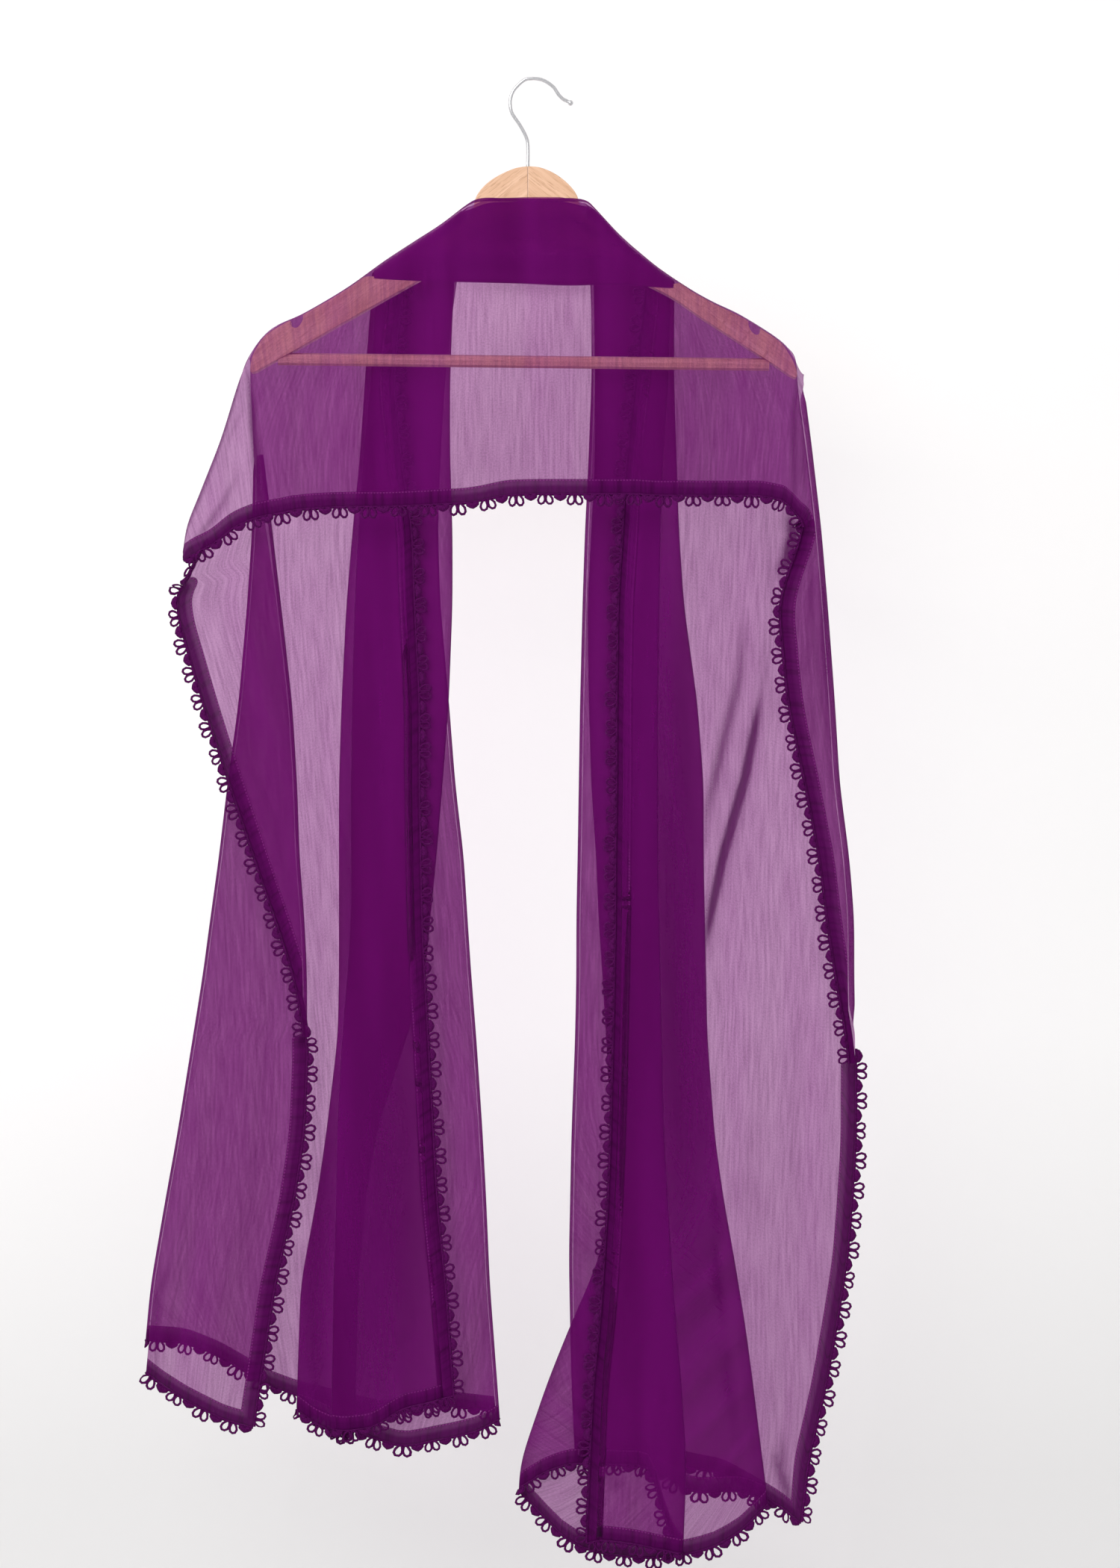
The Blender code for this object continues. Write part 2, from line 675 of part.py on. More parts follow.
def hanger_arms(finish, collection):
    """The two halves of the hanger's wood, parted on the neck's joint."""
    crest_radius = 47.0
    crest_centre = 116.4
    left_tops = [(at, wood_top(at)) for at in (-56, -66, -78, -92, -106, -120, -136, -150, -163, -176)]
    left_tops += notch(-188.5, 9.0, 7.0)[::-1]
    left_tops += [(at, wood_top(at)) for at in (-201, -210, -217)]
    left_end = [(-221.0, 220.0), (-225.0, 227.0), (-224.0, 232.0), (-217.0, 234.0), (-210.0, 232.5)]
    left_low = [
        (BAR_ENDS[0], 229.8), (BAR_ENDS[0], 217.6), (-188, 212), (-170, 202), (-143, 188.5),
        (-118, 176), (-93, 162.5), (-60, 146), (-25, 138),
    ]
    crest = arc(-4.5, crest_radius, crest_centre, -52, 0, 7)
    left = [(WOOD_JOINT - SEAM / 2, 137)] + left_low[::-1] + left_end[::-1] + left_tops[::-1]
    left += [(-50, 110), (-46, 101)] + [point for point in crest if point[0] < WOOD_JOINT - 1]
    left += [(WOOD_JOINT - SEAM / 2, 69.4)]
    outline_curve("hanger_arm_left", left, WOOD_HALF, WOOD_BEVEL, finish, collection)

    right_tops = [(at, wood_top(at)) for at in (50, 60, 72, 84, 98, 112, 124, 140, 152, 164)]
    right_tops += notch(178.5, 9.0, 6.5)
    right_tops += [(at, wood_top(at)) for at in (190, 199, 204)]
    right_end = [(208.5, 224.0), (211.5, 232.0), (211.0, 238.0), (205.0, 240.0), (198.0, 238.0)]
    right_low = [
        (BAR_ENDS[1], 234.6), (BAR_ENDS[1], 222.0), (167, 208.2), (141, 192.6), (115, 178.2),
        (87, 162.5), (56, 146), (20, 138),
    ]
    crest = arc(-3.5, crest_radius, crest_centre, 5, 48, 7) + [(36, 97), (41, 108)]
    right = [(WOOD_JOINT + SEAM / 2, 69.4)] + crest + right_tops + right_end + right_low
    right += [(WOOD_JOINT + SEAM / 2, 137)]
    outline_curve("hanger_arm_right", right, WOOD_HALF, WOOD_BEVEL, finish, collection)


def hanger(wood, bar_wood, steel, collection):
    hanger_arms(wood, collection)
    ends = (BAR_ENDS[0] + SEAM, BAR_ENDS[1] - SEAM)
    tube("hanger_bar", ((ends[0], 223.7), (0.0, 226.0), (ends[1], 228.2)), BAR_RADIUS, bar_wood, collection)
    tube("hook_wire", HOOK_ROUTE, WIRE_RADIUS, steel, collection)
    bpy.ops.mesh.primitive_uv_sphere_add(segments=12, ring_count=8, radius=TIP_RADIUS * MM)
    ball = bpy.context.object
    ball.name = "hook_tip"
    ball.data.name = "hook_tip"
    ball.location = place(31.2, 17.9, 0.0)
    ball.data.materials.append(steel)
    for holder in list(ball.users_collection):
        holder.objects.unlink(ball)
    collection.objects.link(ball)


def stole(cloth_finish, lace_finish, collection):
    """Every stretch of the stole, then the lace along its borders."""
    left = Panel(LEFT_COLUMNS, LEFT_SECTIONS, LEFT_ARM, LEFT_ENDS, 970)
    right = Panel(RIGHT_COLUMNS, RIGHT_SECTIONS, RIGHT_ARM, RIGHT_ENDS, 1050)
    finishes = (cloth_finish, collection)

    front = yoke(*finishes)
    lace("lace_yoke", front[-1], front[-2], lace_finish, collection)
    neck = collar(*finishes)[4:-4]
    lace("lace_collar", column_of(neck, -1), column_of(neck, -2), lace_finish, collection)

    left_levels = (300, 360, 420, 500, 565, 675, 770, 845, 900, 970)
    right_levels = (300, 360, 420, 500, 565, 675, 770, 850, 950, 1005, 1050)
    for side, panel, levels in (("left", left, left_levels), ("right", right, right_levels)):
        pleats = band(panel, levels, f"band_{side}", *finishes)
        side_rows = pleats[4:]
        lace(f"lace_band_{side}", column_of(side_rows, -1), column_of(side_rows, -2), lace_finish, collection)
        lace(f"lace_band_{side}_end", pleats[-1], pleats[-2], lace_finish, collection)

    pleat = FOLD_RADIUS + 2 * SEAM
    wide = (0.1, 0.22, 0.34, 0.46, 0.54, 0.7, 0.84, 1.0)
    plain = (0.1, 0.25, 0.45, 0.7, 1.0)
    sheet = Sheet("fold_2", "fold_3", "back", FOLD_RADIUS, pleat, back_left_depth, tuck_depth, (296, 2000))
    rows = ARM_ROWS + levels_of(left_levels) + FOOT_ROWS
    back = single(left, "back_left", sheet, rows, (99, 0), wide, *finishes)
    lace("lace_back_left_end", back[-1], back[-2], lace_finish, collection)

    sheet = Sheet("fold_1", "fold_2", "tuck", FOLD_RADIUS, pleat, tuck_depth, flap_depth, (0, 755))
    rows = levels_of((300, 360, 420, 500, 565, 625, 675, 720, 770, 800, 845, 900, 970)) + FOOT_ROWS
    tuck = single(left, "tuck_left", sheet, rows, (9, 99), plain, *finishes)
    lace("lace_tuck_left", column_of(tuck, 0)[9:], column_of(tuck, 1)[9:], lace_finish, collection)
    lace("lace_tuck_left_end", tuck[-1], tuck[-2], lace_finish, collection)

    sheet = Sheet("turn", "fold_1", "tuck", 4.0, pleat, flap_depth, yoke_side_depth, (0, 370))
    rows = levels_of((262, 300, 335, 360, 385, 420, 460, 500, 565, 625, 675, 705))
    flap = single(left, "flap_left", sheet, rows, (4, 99), (0.3, 0.65, 1.0), *finishes)
    lace("lace_flap_left", column_of(flap, 0)[5:], column_of(flap, 1)[5:], lace_finish, collection)

    sheet = Sheet("turn", "fold_3", "back", 5.0, pleat, back_right_depth, front_depth, (240, 740))
    levels = (300, 360, 420, 500, 565, 625, 675, 720, 740, 770, 850, 900, 950, 1005, 1050)
    rows = ARM_ROWS + levels_of(levels) + FOOT_ROWS
    parts = (0.1, 0.22, 0.34, 0.46, 0.57, 0.79, 1.0)
    back = single(right, "back_right", sheet, rows, (15, 99), parts, *finishes)
    lace("lace_back_right", column_of(back, 0)[16:], column_of(back, 1)[16:], lace_finish, collection)
    lace("lace_back_right_end", back[-1], back[-2], lace_finish, collection)

    sheet = Sheet("edge", "turn", "back", 5.0, 5.0 + 2 * SEAM, front_depth, front_depth, (0, 0))
    rows = levels_of((360.6, 385, 420, 460, 500, 565, 625, 675, 720))
    flap = single(right, "flap_right", sheet, rows, (0, 99), (0.5, 1.0), *finishes, first="edge")
    lace("lace_flap_right", column_of(flap, 0), column_of(flap, 1), lace_finish, collection)


def main():
    for leftover in list(bpy.data.objects):
        bpy.data.objects.remove(leftover, do_unlink=True)
    collection = bpy.data.collections.new(NAME)
    bpy.context.scene.collection.children.link(collection)
    chiffon = material("purple_chiffon", (0.120, 0.010, 0.115), 0.75)
    trim = material("plum_lace", (0.035, 0.004, 0.030), 0.8)
    wood = material("beech_wood", (0.70, 0.46, 0.26), 0.45)
    bar_wood = material("bar_wood", (0.66, 0.44, 0.26), 0.5)
    steel = material("bright_steel", (0.72, 0.72, 0.74), 0.22, 1.0)
    hanger(wood, bar_wood, steel, collection)
    stole(chiffon, trim, collection)


main()
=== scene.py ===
"""The dupatta stole on its wooden hanger, with its looks.

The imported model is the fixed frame. Each stretch of chiffon is one open sheet
on its solid's form, worked out from the same tables as the solids. The lace,
the hanger's arms and the hook are new pieces too, and the bar keeps its solid.
The tables are in millimetres: across to the viewer's right, and down from the
hook's rest.
"""

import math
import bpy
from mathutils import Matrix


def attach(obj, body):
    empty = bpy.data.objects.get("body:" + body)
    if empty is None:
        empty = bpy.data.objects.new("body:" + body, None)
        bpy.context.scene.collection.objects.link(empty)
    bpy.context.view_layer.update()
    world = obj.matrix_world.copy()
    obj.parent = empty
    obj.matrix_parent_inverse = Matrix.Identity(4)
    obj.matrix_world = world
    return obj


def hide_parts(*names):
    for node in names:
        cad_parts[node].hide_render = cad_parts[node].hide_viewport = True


bl_info = {
    "name": "Dupatta Stole on a Hanger",
    "version": (1, 0, 0),
    "blender": (4, 5, 0),
    "location": "3D View > Sidebar > Stole",
    "description": "Builds a lace-edged chiffon stole over a wooden hanger",
    "category": "Object",
}

from collections import namedtuple

import bmesh
import bpy
import numpy as np
from mathutils import Matrix, Vector

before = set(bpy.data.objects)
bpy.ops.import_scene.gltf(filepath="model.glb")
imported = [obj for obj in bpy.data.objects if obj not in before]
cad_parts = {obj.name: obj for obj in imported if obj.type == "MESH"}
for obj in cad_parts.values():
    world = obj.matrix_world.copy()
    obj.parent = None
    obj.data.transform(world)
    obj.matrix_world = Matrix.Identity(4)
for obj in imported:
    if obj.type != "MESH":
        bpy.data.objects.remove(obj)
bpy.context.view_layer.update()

MM = 0.001
HEM_WIDTH = 11.5
HEM_STEPS = (HEM_WIDTH + 1, HEM_WIDTH, 9.0, 6.0, 3.0, 0.0)
FOLD_RADIUS = 2.6
# How much painted shade lies along the turn of each fold.
PAINTED_FOLD_SHADE = 0.8
FAR_FROM_HEM = 60.0
ROW_STEP = 4.0

# The lines of points just inside a hem, counted from the last and from the first,
# the degrees of the rows that turn over an arm, and the finer steps of the collar.
HEM_INSIDE = -len(HEM_STEPS)
SIDE_INSIDE = 14
ARM_TURNS = (0, 8, 16, 26, 36, 46, 57, 68, 79, 90)
YOKE_TURNS = (0, 13, 26, 39, 52, 65, 78, 90)
YOKE_ROWS = 66
COLLAR_FINER = 7

# The layers are numbered from the band's inner pleat, 0, to the outer sheet, 4.
# Over the arm each lies further out, higher and in a wider curl than the last;
# where they hang, each lies further back.
OUTER = 4
NEAR_FIRST, NEAR_PITCH = 8.0, 2.2
LIFT_PITCH = 2.0
CURL_FIRST = 4.0
HANG_FIRST, HANG_PITCH = 9.6, 3.3
DROP_END = 300.0

# Depths of the hanging sheets where they leave the band, with the yoke in front
# of the hanger, below 0.
BACKMOST = 25.5
TUCK_DEPTH = 11.5
YOKE_SIDE_DEPTH = -9.5
YOKE_FOOT_DEPTH = 14.0

# In metres: the pitch of the right arm's cross grooves, and the middle of the
# photograph, across and up.
GROOVE_PITCH = 0.021
PHOTO_CENTRE = (0.0228, -0.5652)

# One hanging sheet: its first and last fold, the name of its foot, the radius and
# inset of its folds, its own and its neighbour's depth, and where it is shut.
Sheet = namedtuple("Sheet", "start end foot radius inset own neighbour shut")

# Where each fold line lies across, at levels down each side.
LEFT_COLUMNS = ("down", "turn", "fold_1", "fold_2", "fold_3", "fold_4", "fold_5", "fold_6", "hem")
LEFT_SECTIONS = (
    (100, -229, -226, -226, -52, -127, -56, -124, -103),
    (165, -229, -226, -226, -61, -129, -63, -125, -104),
    (240, -233, -226, -227, -70, -135, -66, -130, -112),
    (300, -250, -216, -225, -74, -139, -66, -136, -106),
    (360, -275, -209, -226, -76, -145, -64, -140, -97),
    (420, -287, -202, -230, -74, -150, -64, -143, -95),
    (500, -264, -193, -237, -67, -154, -67, -145, -91),
    (565, -243, -189, -246, -62, -156, -72, -146, -91),
    (625, -223, -187, -253, -55, -156, -77, -146, -90),
    (675, -206, -183, -260, -52, -156, -82, -146, -89),
    (720, -191, -181, -266, -49, -156, -86, -149, -87),
    (770, -182, -181, -274, -45, -157, -101, -153, -84),
    (845, -184, -184, -286, -40, -166, -125, -157, -80),
    (900, -192, -192, -296, -37, -174, -134, -158, -77),
    (970, -208, -208, -308, -34, -187, -140, -160, -70),
    (1090, -226, -226, -319, -25, -191, -143, -162, -61),
)
RIGHT_COLUMNS = ("down", "edge", "turn", "fold_3", "fold_4", "fold_5", "fold_6", "hem")
RIGHT_SECTIONS = (
    (100, 219, 215, 44, 115, 48, 111, 92),
    (165, 219, 215, 47, 115, 50, 112, 92),
    (240, 219, 219, 48, 115, 51, 110, 84),
    (300, 219, 226, 46, 117, 51, 106, 77),
    (360, 219, 233, 43, 119, 48, 104, 74),
    (420, 198, 238, 41, 123, 45, 103, 70),
    (500, 206, 244, 39, 134, 46, 102, 69),
    (565, 220, 248, 38, 139, 48, 102, 69),
    (625, 232, 256, 37, 139, 52, 102, 68),
    (675, 238, 260, 36, 140, 54, 103, 68),
    (720, 245, 260, 36, 141, 57, 104, 67),
    (770, 254, 261, 35, 142, 60, 105, 66),
    (850, 261, 261, 32, 148, 64, 107, 64),
    (900, 258, 258, 31, 155, 63, 110, 62),
    (950, 254, 254, 30, 164, 54, 113, 59),
    (1005, 245, 245, 31, 173, 30, 117, 55),
    (1050, 237, 237, 32, 179, 12, 121, 50),
    (1115, 222, 222, 35, 187, -10, 125, 47),
    (1190, 215, 215, 35, 197, -12, 122, 44),
)

# The silhouette of the cloth over each arm, as (across, down).
LEFT_ARM = (
    (-230, 236), (-229.5, 230), (-226, 221), (-221, 212), (-214, 204), (-203, 196), (-185, 188),
    (-162, 175), (-143, 163), (-118, 145), (-92, 128), (-73, 116), (-52, 101), (-44, 98),
)
RIGHT_ARM = (
    (36, 96), (44, 98), (52, 105), (67, 120.6), (79, 132), (103, 151.4), (128, 168), (146, 178),
    (167, 188), (193, 204), (203, 212), (209, 219), (213, 227), (216.5, 236.5),
)

# Lower edges of the hanging layers, as (across, down).
LEFT_ENDS = {
    "tuck": ((-319, 1032), (-301, 1048), (-277, 1063), (-247, 1078), (-226, 1084)),
    "back": ((-319, 1014), (-280, 1017), (-253, 1028), (-215, 1051), (-191, 1060), (-122, 1077),
             (-73, 1068), (-25, 1074)),
    3: ((-191, 1068), (-139, 1090), (-104, 1101), (-73, 1095), (-42, 1088), (-25, 1077)),
    2: ((-191, 1068), (-178, 1080), (-155, 1090), (-143, 1088)),
    1: ((-162, 1084), (-150, 1089), (-143, 1088)),
    0: ((-162, 1084), (-155, 1087), (-129, 1084), (-104, 1068), (-83, 1064), (-61, 1057)),
}
RIGHT_ENDS = {
    "back": ((35, 1108), (95, 1110), (126, 1118), (156, 1124), (195, 1146), (218, 1162)),
    3: ((35, 1108), (95, 1116), (130, 1138), (170, 1136), (191, 1145)),
    2: ((-12, 1134), (-6, 1138), (6, 1153), (29, 1176), (53, 1186), (86, 1190), (116, 1189), (146, 1182),
        (170, 1168), (191, 1145)),
    1: ((-12, 1134), (-6, 1131), (6, 1122), (30, 1113), (98, 1115), (107, 1157), (114, 1178), (122, 1184)),
    0: ((44, 1178), (53, 1174), (86, 1178), (122, 1186)),
}

# The yoke's lines, as (top, top_down, foot, foot_down, upper_edge, pleats); pleats
# is 1 where the pleated band lies behind the upper edge.
YOKE_LINES = (
    (-279.5, 379, -279, 386, "side", 0.0),
    (-275.5, 357, -267, 379, "side", 0.0),
    (-265, 330, -254, 372, "side", 0.0),
    (-250, 291, -239, 360, "side", 0.0),
    (-237, 250, -224, 353, "side", 0.0),
    (-231, 231, -213, 350, "over", 0.0),
    (-224, 217, -201, 348, "over", 0.0),
    (-214, 204, -192, 346, "over", 0.0),
    (-203, 196, -184, 345, "over", 0.0),
    (-185, 188, -172, 344, "over", 0.0),
    (-162, 175, -153, 343, "over", 0.0),
    (-143, 163, -137, 343, "over", 0.5),
    (-118, 145, -115, 343, "over", 1.0),
    (-92, 128, -90, 342, "over", 1.0),
    (-73, 116, -72, 341, "over", 1.0),
    (-52, 101, -54, 340, "over", 1.0),
    (-40, 97, -40, 338, "fold", 1.0),
    (-20, 97, -20, 334, "fold", 1.0),
    (3, 97, 3, 333, "fold", 1.0),
    (22, 97, 22, 333, "fold", 1.0),
    (33, 97, 34, 333, "fold", 1.0),
    (44, 98, 46, 333, "over", 1.0),
    (52, 105, 54, 333, "over", 1.0),
    (67, 120.6, 68, 333, "over", 1.0),
    (75, 128.2, 75, 333, "over", 1.0),
    (84, 136, 84, 333, "over", 1.0),
    (103, 151.4, 101, 334, "over", 1.0),
    (128, 168, 124, 334, "over", 0.5),
    (146, 178, 142, 334, "over", 0.0),
    (167, 188, 160, 334, "over", 0.0),
    (193, 204, 180, 334, "over", 0.0),
    (205, 214, 193, 336, "over", 0.0),
    (212, 225, 201, 338, "over", 0.0),
    (214, 252, 206, 342, "side", 0.0),
    (217.5, 278, 209, 345, "side", 0.0),
    (221, 305, 213, 350, "side", 0.0),
    (225, 338, 217, 355, "side", 0.0),
    (227, 359.2, 218, 359.7, "side", 0.0),
)

# The collar's lines, as (top, top_down, foot, foot_down, turn, clear, over); turn is
# 0 over the arm and 90 degrees in front of it, clear is how far the upper edge
# stands off the outer sheet, and over marks the lines that follow the arm's top.
COLLAR_LINES = (
    (-52, 101, -128, 151, 0, 6, True),
    (-51.5, 101, -127.5, 151.5, 15, 6, True),
    (-50, 101, -126, 152.5, 45, 6, True),
    (-48, 100.5, -123, 155, 90, 6, True),
    (-34, 95.5, -88, 162.5, 90, 1, False),
    (-15, 94.5, -45, 163.5, 90, 1, False),
    (0, 94, -8, 164.5, 90, 1, False),
    (14, 94, 28, 166, 90, 1, False),
    (26, 94.5, 66, 165.5, 90, 1, False),
    (40, 98, 110, 161, 90, 6, True),
    (42, 98, 112.5, 158.5, 45, 6, True),
    (43.5, 98, 114.5, 156.5, 15, 6, True),
    (44, 98, 115, 156, 0, 6, True),
)
COLLAR_HEM_AT = 0.67

# The hook's wire, as (across, down) on its centre line, and the middle of its ball.
HOOK_ROUTE = (
    (-3.0, 69.1), (-3.0, 52.0), (-4.8, 44.5), (-9.6, 35.5), (-15.6, 26.5), (-17.2, 19.5), (-16.8, 13.8),
    (-14.4, 7.8), (-9.6, 2.4), (-5.0, -0.9), (0.0, -1.7), (5.0, -1.4), (9.5, -0.2), (14.4, 2.6),
    (18.2, 6.0), (21.5, 11.0), (25.0, 14.6), (28.9, 16.7),
)
HOOK_TIP = (31.2, 17.9)

# Soft creases by piece: the route's points (across, down), half the width, the depth and how much painted
# shade it lays along it. A crease with no depth is only a band of painted shade.
Crease = namedtuple("Crease", "route wide deep dark")
CREASES = {
    "yoke_front": (
        Crease(((-236, 250), (-247, 280), (-256, 305)), 2.6, 1.2, 0.45),
        Crease(((-230, 262), (-240, 282), (-246, 300)), 2.6, 1.0, 0.25),
        Crease(((-236, 318), (-247, 340), (-262, 362), (-272, 374)), 3.2, 1.5, 0.5),
        Crease(((-240, 335), (-254, 355), (-270, 368)), 2.2, 1.1, 0.35),
        Crease(((214, 236), (211, 262), (210, 300), (211, 352)), 2.6, 1.3, 0.6),
        Crease(((216, 255), (218, 290), (219, 330)), 2.0, 1.0, 0.4),
        Crease(((-227, 226), (-223, 280), (-216, 356)), 3.2, 1.3, 0.9),
        Crease(((-223, 270), (-219, 306), (-213, 350)), 4.0, 0.0, 0.6),
        Crease(((-232, 240), (-246, 290), (-255, 340)), 5.0, 1.4, 0.12),
        Crease(((-100, 190), (-104, 330)), 9.0, 1.4, 0.04),
        Crease(((120, 210), (112, 325)), 9.0, 1.4, 0.04),
        Crease(((-62, 166), (10, 168), (108, 171)), 7.0, 0.0, 0.3),
    ),
    "back_right": (
        Crease(
            ((186, 490), (180, 523), (173, 560), (164, 592), (155, 625), (146, 668), (139, 705)),
            3.8, 3.0, 1.9,
        ),
        Crease(((178, 545), (168, 580), (158, 617), (149, 655), (141, 695)), 7.0, 0.6, 0.5),
        Crease(((196, 1104), (204, 1130), (213, 1160)), 4.5, 2.0, 0.8),
        Crease(((204, 1090), (203, 1115), (200, 1130)), 4.0, 1.5, 0.6),
        Crease(((207, 344), (211, 364), (207, 384), (199, 398)), 6.0, 1.5, 1.3),
        Crease(((192, 440), (188, 480), (184, 515), (176, 550)), 5.0, 1.5, 0.3),
        Crease(((173, 425), (168, 480), (156, 530), (147, 570), (138, 612)), 4.5, 2.0, 0.75),
        Crease(((158, 500), (152, 540), (143, 590), (138, 622)), 3.5, 1.6, 0.45),
        Crease(((224, 268), (230, 334), (235, 400), (236, 452), (240, 518), (243, 575)), 4.0, 1.4, 0.55),
        Crease(((226, 380), (224, 430), (222, 480), (230, 540)), 3.5, 1.0, 0.3),
        Crease(((250, 600), (254, 650), (256, 700), (262, 760)), 3.5, 1.2, 0.4),
        Crease(((190, 300), (192, 360), (196, 440), (202, 520)), 5.0, 1.2, 0.12),
        Crease(((222, 700), (214, 780), (212, 860), (216, 940)), 6.0, 1.5, 0.12),
        Crease(((190, 780), (178, 880), (180, 960)), 7.0, 1.4, 0.1),
    ),
    "flap_right": (
        Crease(((212, 352), (214, 372), (206, 395)), 8.0, 1.2, 1.6),
        Crease(((231, 400), (236, 470), (246, 560), (256, 650)), 3.0, 0.8, 0.6),
        Crease(((222, 380), (226, 440), (236, 540)), 2.6, 0.8, 0.35),
    ),
    "band_left": (
        Crease(((-86, 973), (-98, 1009), (-115, 1039), (-124, 1063)), 4.5, 2.2, 0.4),
        Crease(((-150, 760), (-146, 850), (-150, 940)), 6.0, 1.2, 0.15),
        Crease(((-100, 770), (-88, 782)), 3.0, 1.2, 0.4),
        Crease(((-98, 800), (-84, 812)), 3.0, 1.2, 0.35),
        Crease(((-94, 858), (-80, 866)), 3.0, 1.2, 0.4),
        Crease(((-45, 420), (-42, 600), (-34, 800), (-30, 960)), 7.0, 1.4, 0.1),
        Crease(((-112, 700), (-122, 860), (-128, 1000), (-128, 1110)), 36.0, 0.0, 0.62),
        Crease(((-166, 800), (-172, 900), (-176, 1000), (-178, 1110)), 16.0, 0.0, 0.6),
        Crease(((-116, 380), (-122, 560), (-128, 760)), 8.0, 1.0, 0.3),
        Crease(((-150, 420), (-146, 600), (-150, 740)), 6.0, 0.8, 0.3),
    ),
    "band_right": (
        Crease(((64, 656), (88, 664)), 3.0, 1.4, 0.45),
        Crease(((36, 1068), (37, 1116)), 3.0, 1.5, 0.35),
        Crease(((51, 1108), (77, 1141)), 4.0, 1.6, 0.35),
        Crease(((144, 827), (145, 894), (148, 944), (152, 1028), (165, 1075)), 4.0, 1.6, 0.35),
        Crease(((20, 640), (14, 800), (4, 950)), 6.0, 1.3, 0.12),
        Crease(((108, 350), (112, 480), (119, 640), (121, 780), (127, 920), (134, 1040)), 24.0, 0.0, 0.6),
        Crease(((133, 560), (134, 700), (137, 860), (147, 1000)), 16.0, 0.0, 0.45),
        Crease(((145, 805), (148, 900), (152, 1010), (166, 1100)), 3.0, 1.0, 0.7),
        Crease(((84, 380), (84, 560), (78, 760), (72, 940)), 7.0, 1.0, 0.35),
    ),
    "tuck_left": (
        Crease(((-240, 640), (-250, 780), (-262, 920)), 9.0, 1.5, 0.1),
        Crease(((-205, 720), (-222, 860), (-236, 980)), 8.0, 1.4, 0.08),
        Crease(((-290, 949), (-302, 979), (-304, 1012), (-302, 1045)), 3.4, 1.2, 0.5),
    ),
    "flap_left": (
        Crease(((-250, 400), (-232, 480), (-214, 560)), 7.0, 1.2, 0.08),
    ),
    "back_left": (
        Crease(((-205, 360), (-200, 560), (-212, 760), (-222, 960)), 8.0, 1.5, 0.08),
        Crease(((-168, 420), (-172, 700), (-180, 940)), 7.0, 1.2, 0.08),
    ),
    "collar_band": (
        Crease(((-45, 118), (30, 112), (95, 150)), 3.0, 1.4, 0.6),
        Crease(((-70, 135), (0, 128), (80, 150)), 3.5, 1.4, 0.5),
        Crease(((-85, 152), (-10, 146), (60, 152)), 3.0, 1.3, 0.5),
        Crease(((-62, 122), (-10, 124), (40, 121)), 5.0, 0.8, 0.4),
    ),
}

# How far down the yoke's hem lies at its left end, where the flap comes out.
YOKE_HEM_POINTS = (
    (-290, 386), (-279, 380), (-267, 373), (-254, 366), (-239, 354), (-224, 347), (-210, 345),
)

# What has been made so far, by name: each hem's points with the points just inside it, and the sheets.
borders = {}
sheets = {}


def smoothed(points, spread):
    """A rounded curve through (place, value) points, sampled each millimetre."""
    ordered = sorted(points)
    places = np.array([place for place, value in ordered], float)
    values = np.array([value for place, value in ordered], float)
    first = math.floor(places[0]) - 30
    at = np.arange(first, math.ceil(places[-1]) + 31)
    found = np.interp(at, places, values)
    kernel = np.ones(2 * spread + 1) / (2 * spread + 1)
    for _ in range(2):
        padded = np.concatenate([np.full(spread, found[0]), found, np.full(spread, found[-1])])
        found = np.convolve(padded, kernel, mode="valid")
    return first, found.tolist()


def at_curve(curve, place):
    """Value of a sampled curve at a place."""
    first, found = curve
    place = min(max(place - first, 0.0), len(found) - 1.001)
    low = int(place)
    return found[low] + (found[low + 1] - found[low]) * (place - low)


def between(first, second, part):
    """The value a part of the way from first to second."""
    return first + (second - first) * part


def smooth(part):
    """An even ease from 0 to 1."""
    part = min(1.0, max(0.0, part))
    return part * part * (3 - 2 * part)


YOKE_HEM = smoothed(YOKE_HEM_POINTS, 2)


class Panel:
    """One hanging side of the stole, with its fold lines and lower edges."""

    def __init__(self, columns, sections, arm, ends, last_level):
        self.rails = {}
        for column, name in enumerate(columns[1:], start=1):
            self.rails[name] = smoothed([(row[0], row[column]) for row in sections], 14)
        self.arm = smoothed(arm, 2)
        self.ends = {name: smoothed(line, 5) for name, line in ends.items()}
        self.last_level = last_level

    def rail(self, name, down):
        """How far across a fold line lies at a level."""
        return at_curve(self.rails[name], down)

    def band_zone(self, across):
        """1 where the pleats lie on the arm, 0 further out."""
        return 1.0 - smooth((abs(across) - 138) / 24)

    def level(self, row, across, foot, outer):
        """How far down a row of the sheet lies at a place across."""
        kind, value = row
        top = at_curve(self.arm, across)
        if kind == "arm":
            return top
        if kind == "drop":
            curl = CURL_FIRST + LIFT_PITCH * OUTER * (self.band_zone(across) if outer else 1.0)
            return between(top + curl, DROP_END, value)
        if kind == "level":
            return value
        low = at_curve(self.ends[foot], across)
        if kind == "foot":
            return low - value
        return between(self.last_level, low - HEM_WIDTH - 1, value)

    def start_down(self, row):
        """A first guess of how far down a row lies."""
        kind, value = row
        if kind == "level":
            return value
        return 200.0 if kind in ("arm", "drop") else self.last_level

    def rows(self, first=None, last=None):
        """Fine rows, over the arm where first is None and to the foot where last is."""
        made = []
        if first is None:
            made += [("arm", turn) for turn in ARM_TURNS]
            made += [("drop", step / 24) for step in range(1, 24)]
            first = DROP_END
        end = self.last_level if last is None else last
        count = round((end - first) / ROW_STEP)
        made += [("level", between(first, end, step / count)) for step in range(count + 1)]
        if last is None:
            made += [("last", step / 14) for step in range(1, 14)]
            made += [("foot", value) for value in HEM_STEPS]
        return made


def hanging(row):
    """0 over the arm, 1 where the cloth hangs freely."""
    kind, value = row
    return {"arm": 0.0, "drop": smooth(value)}.get(kind, 1.0)


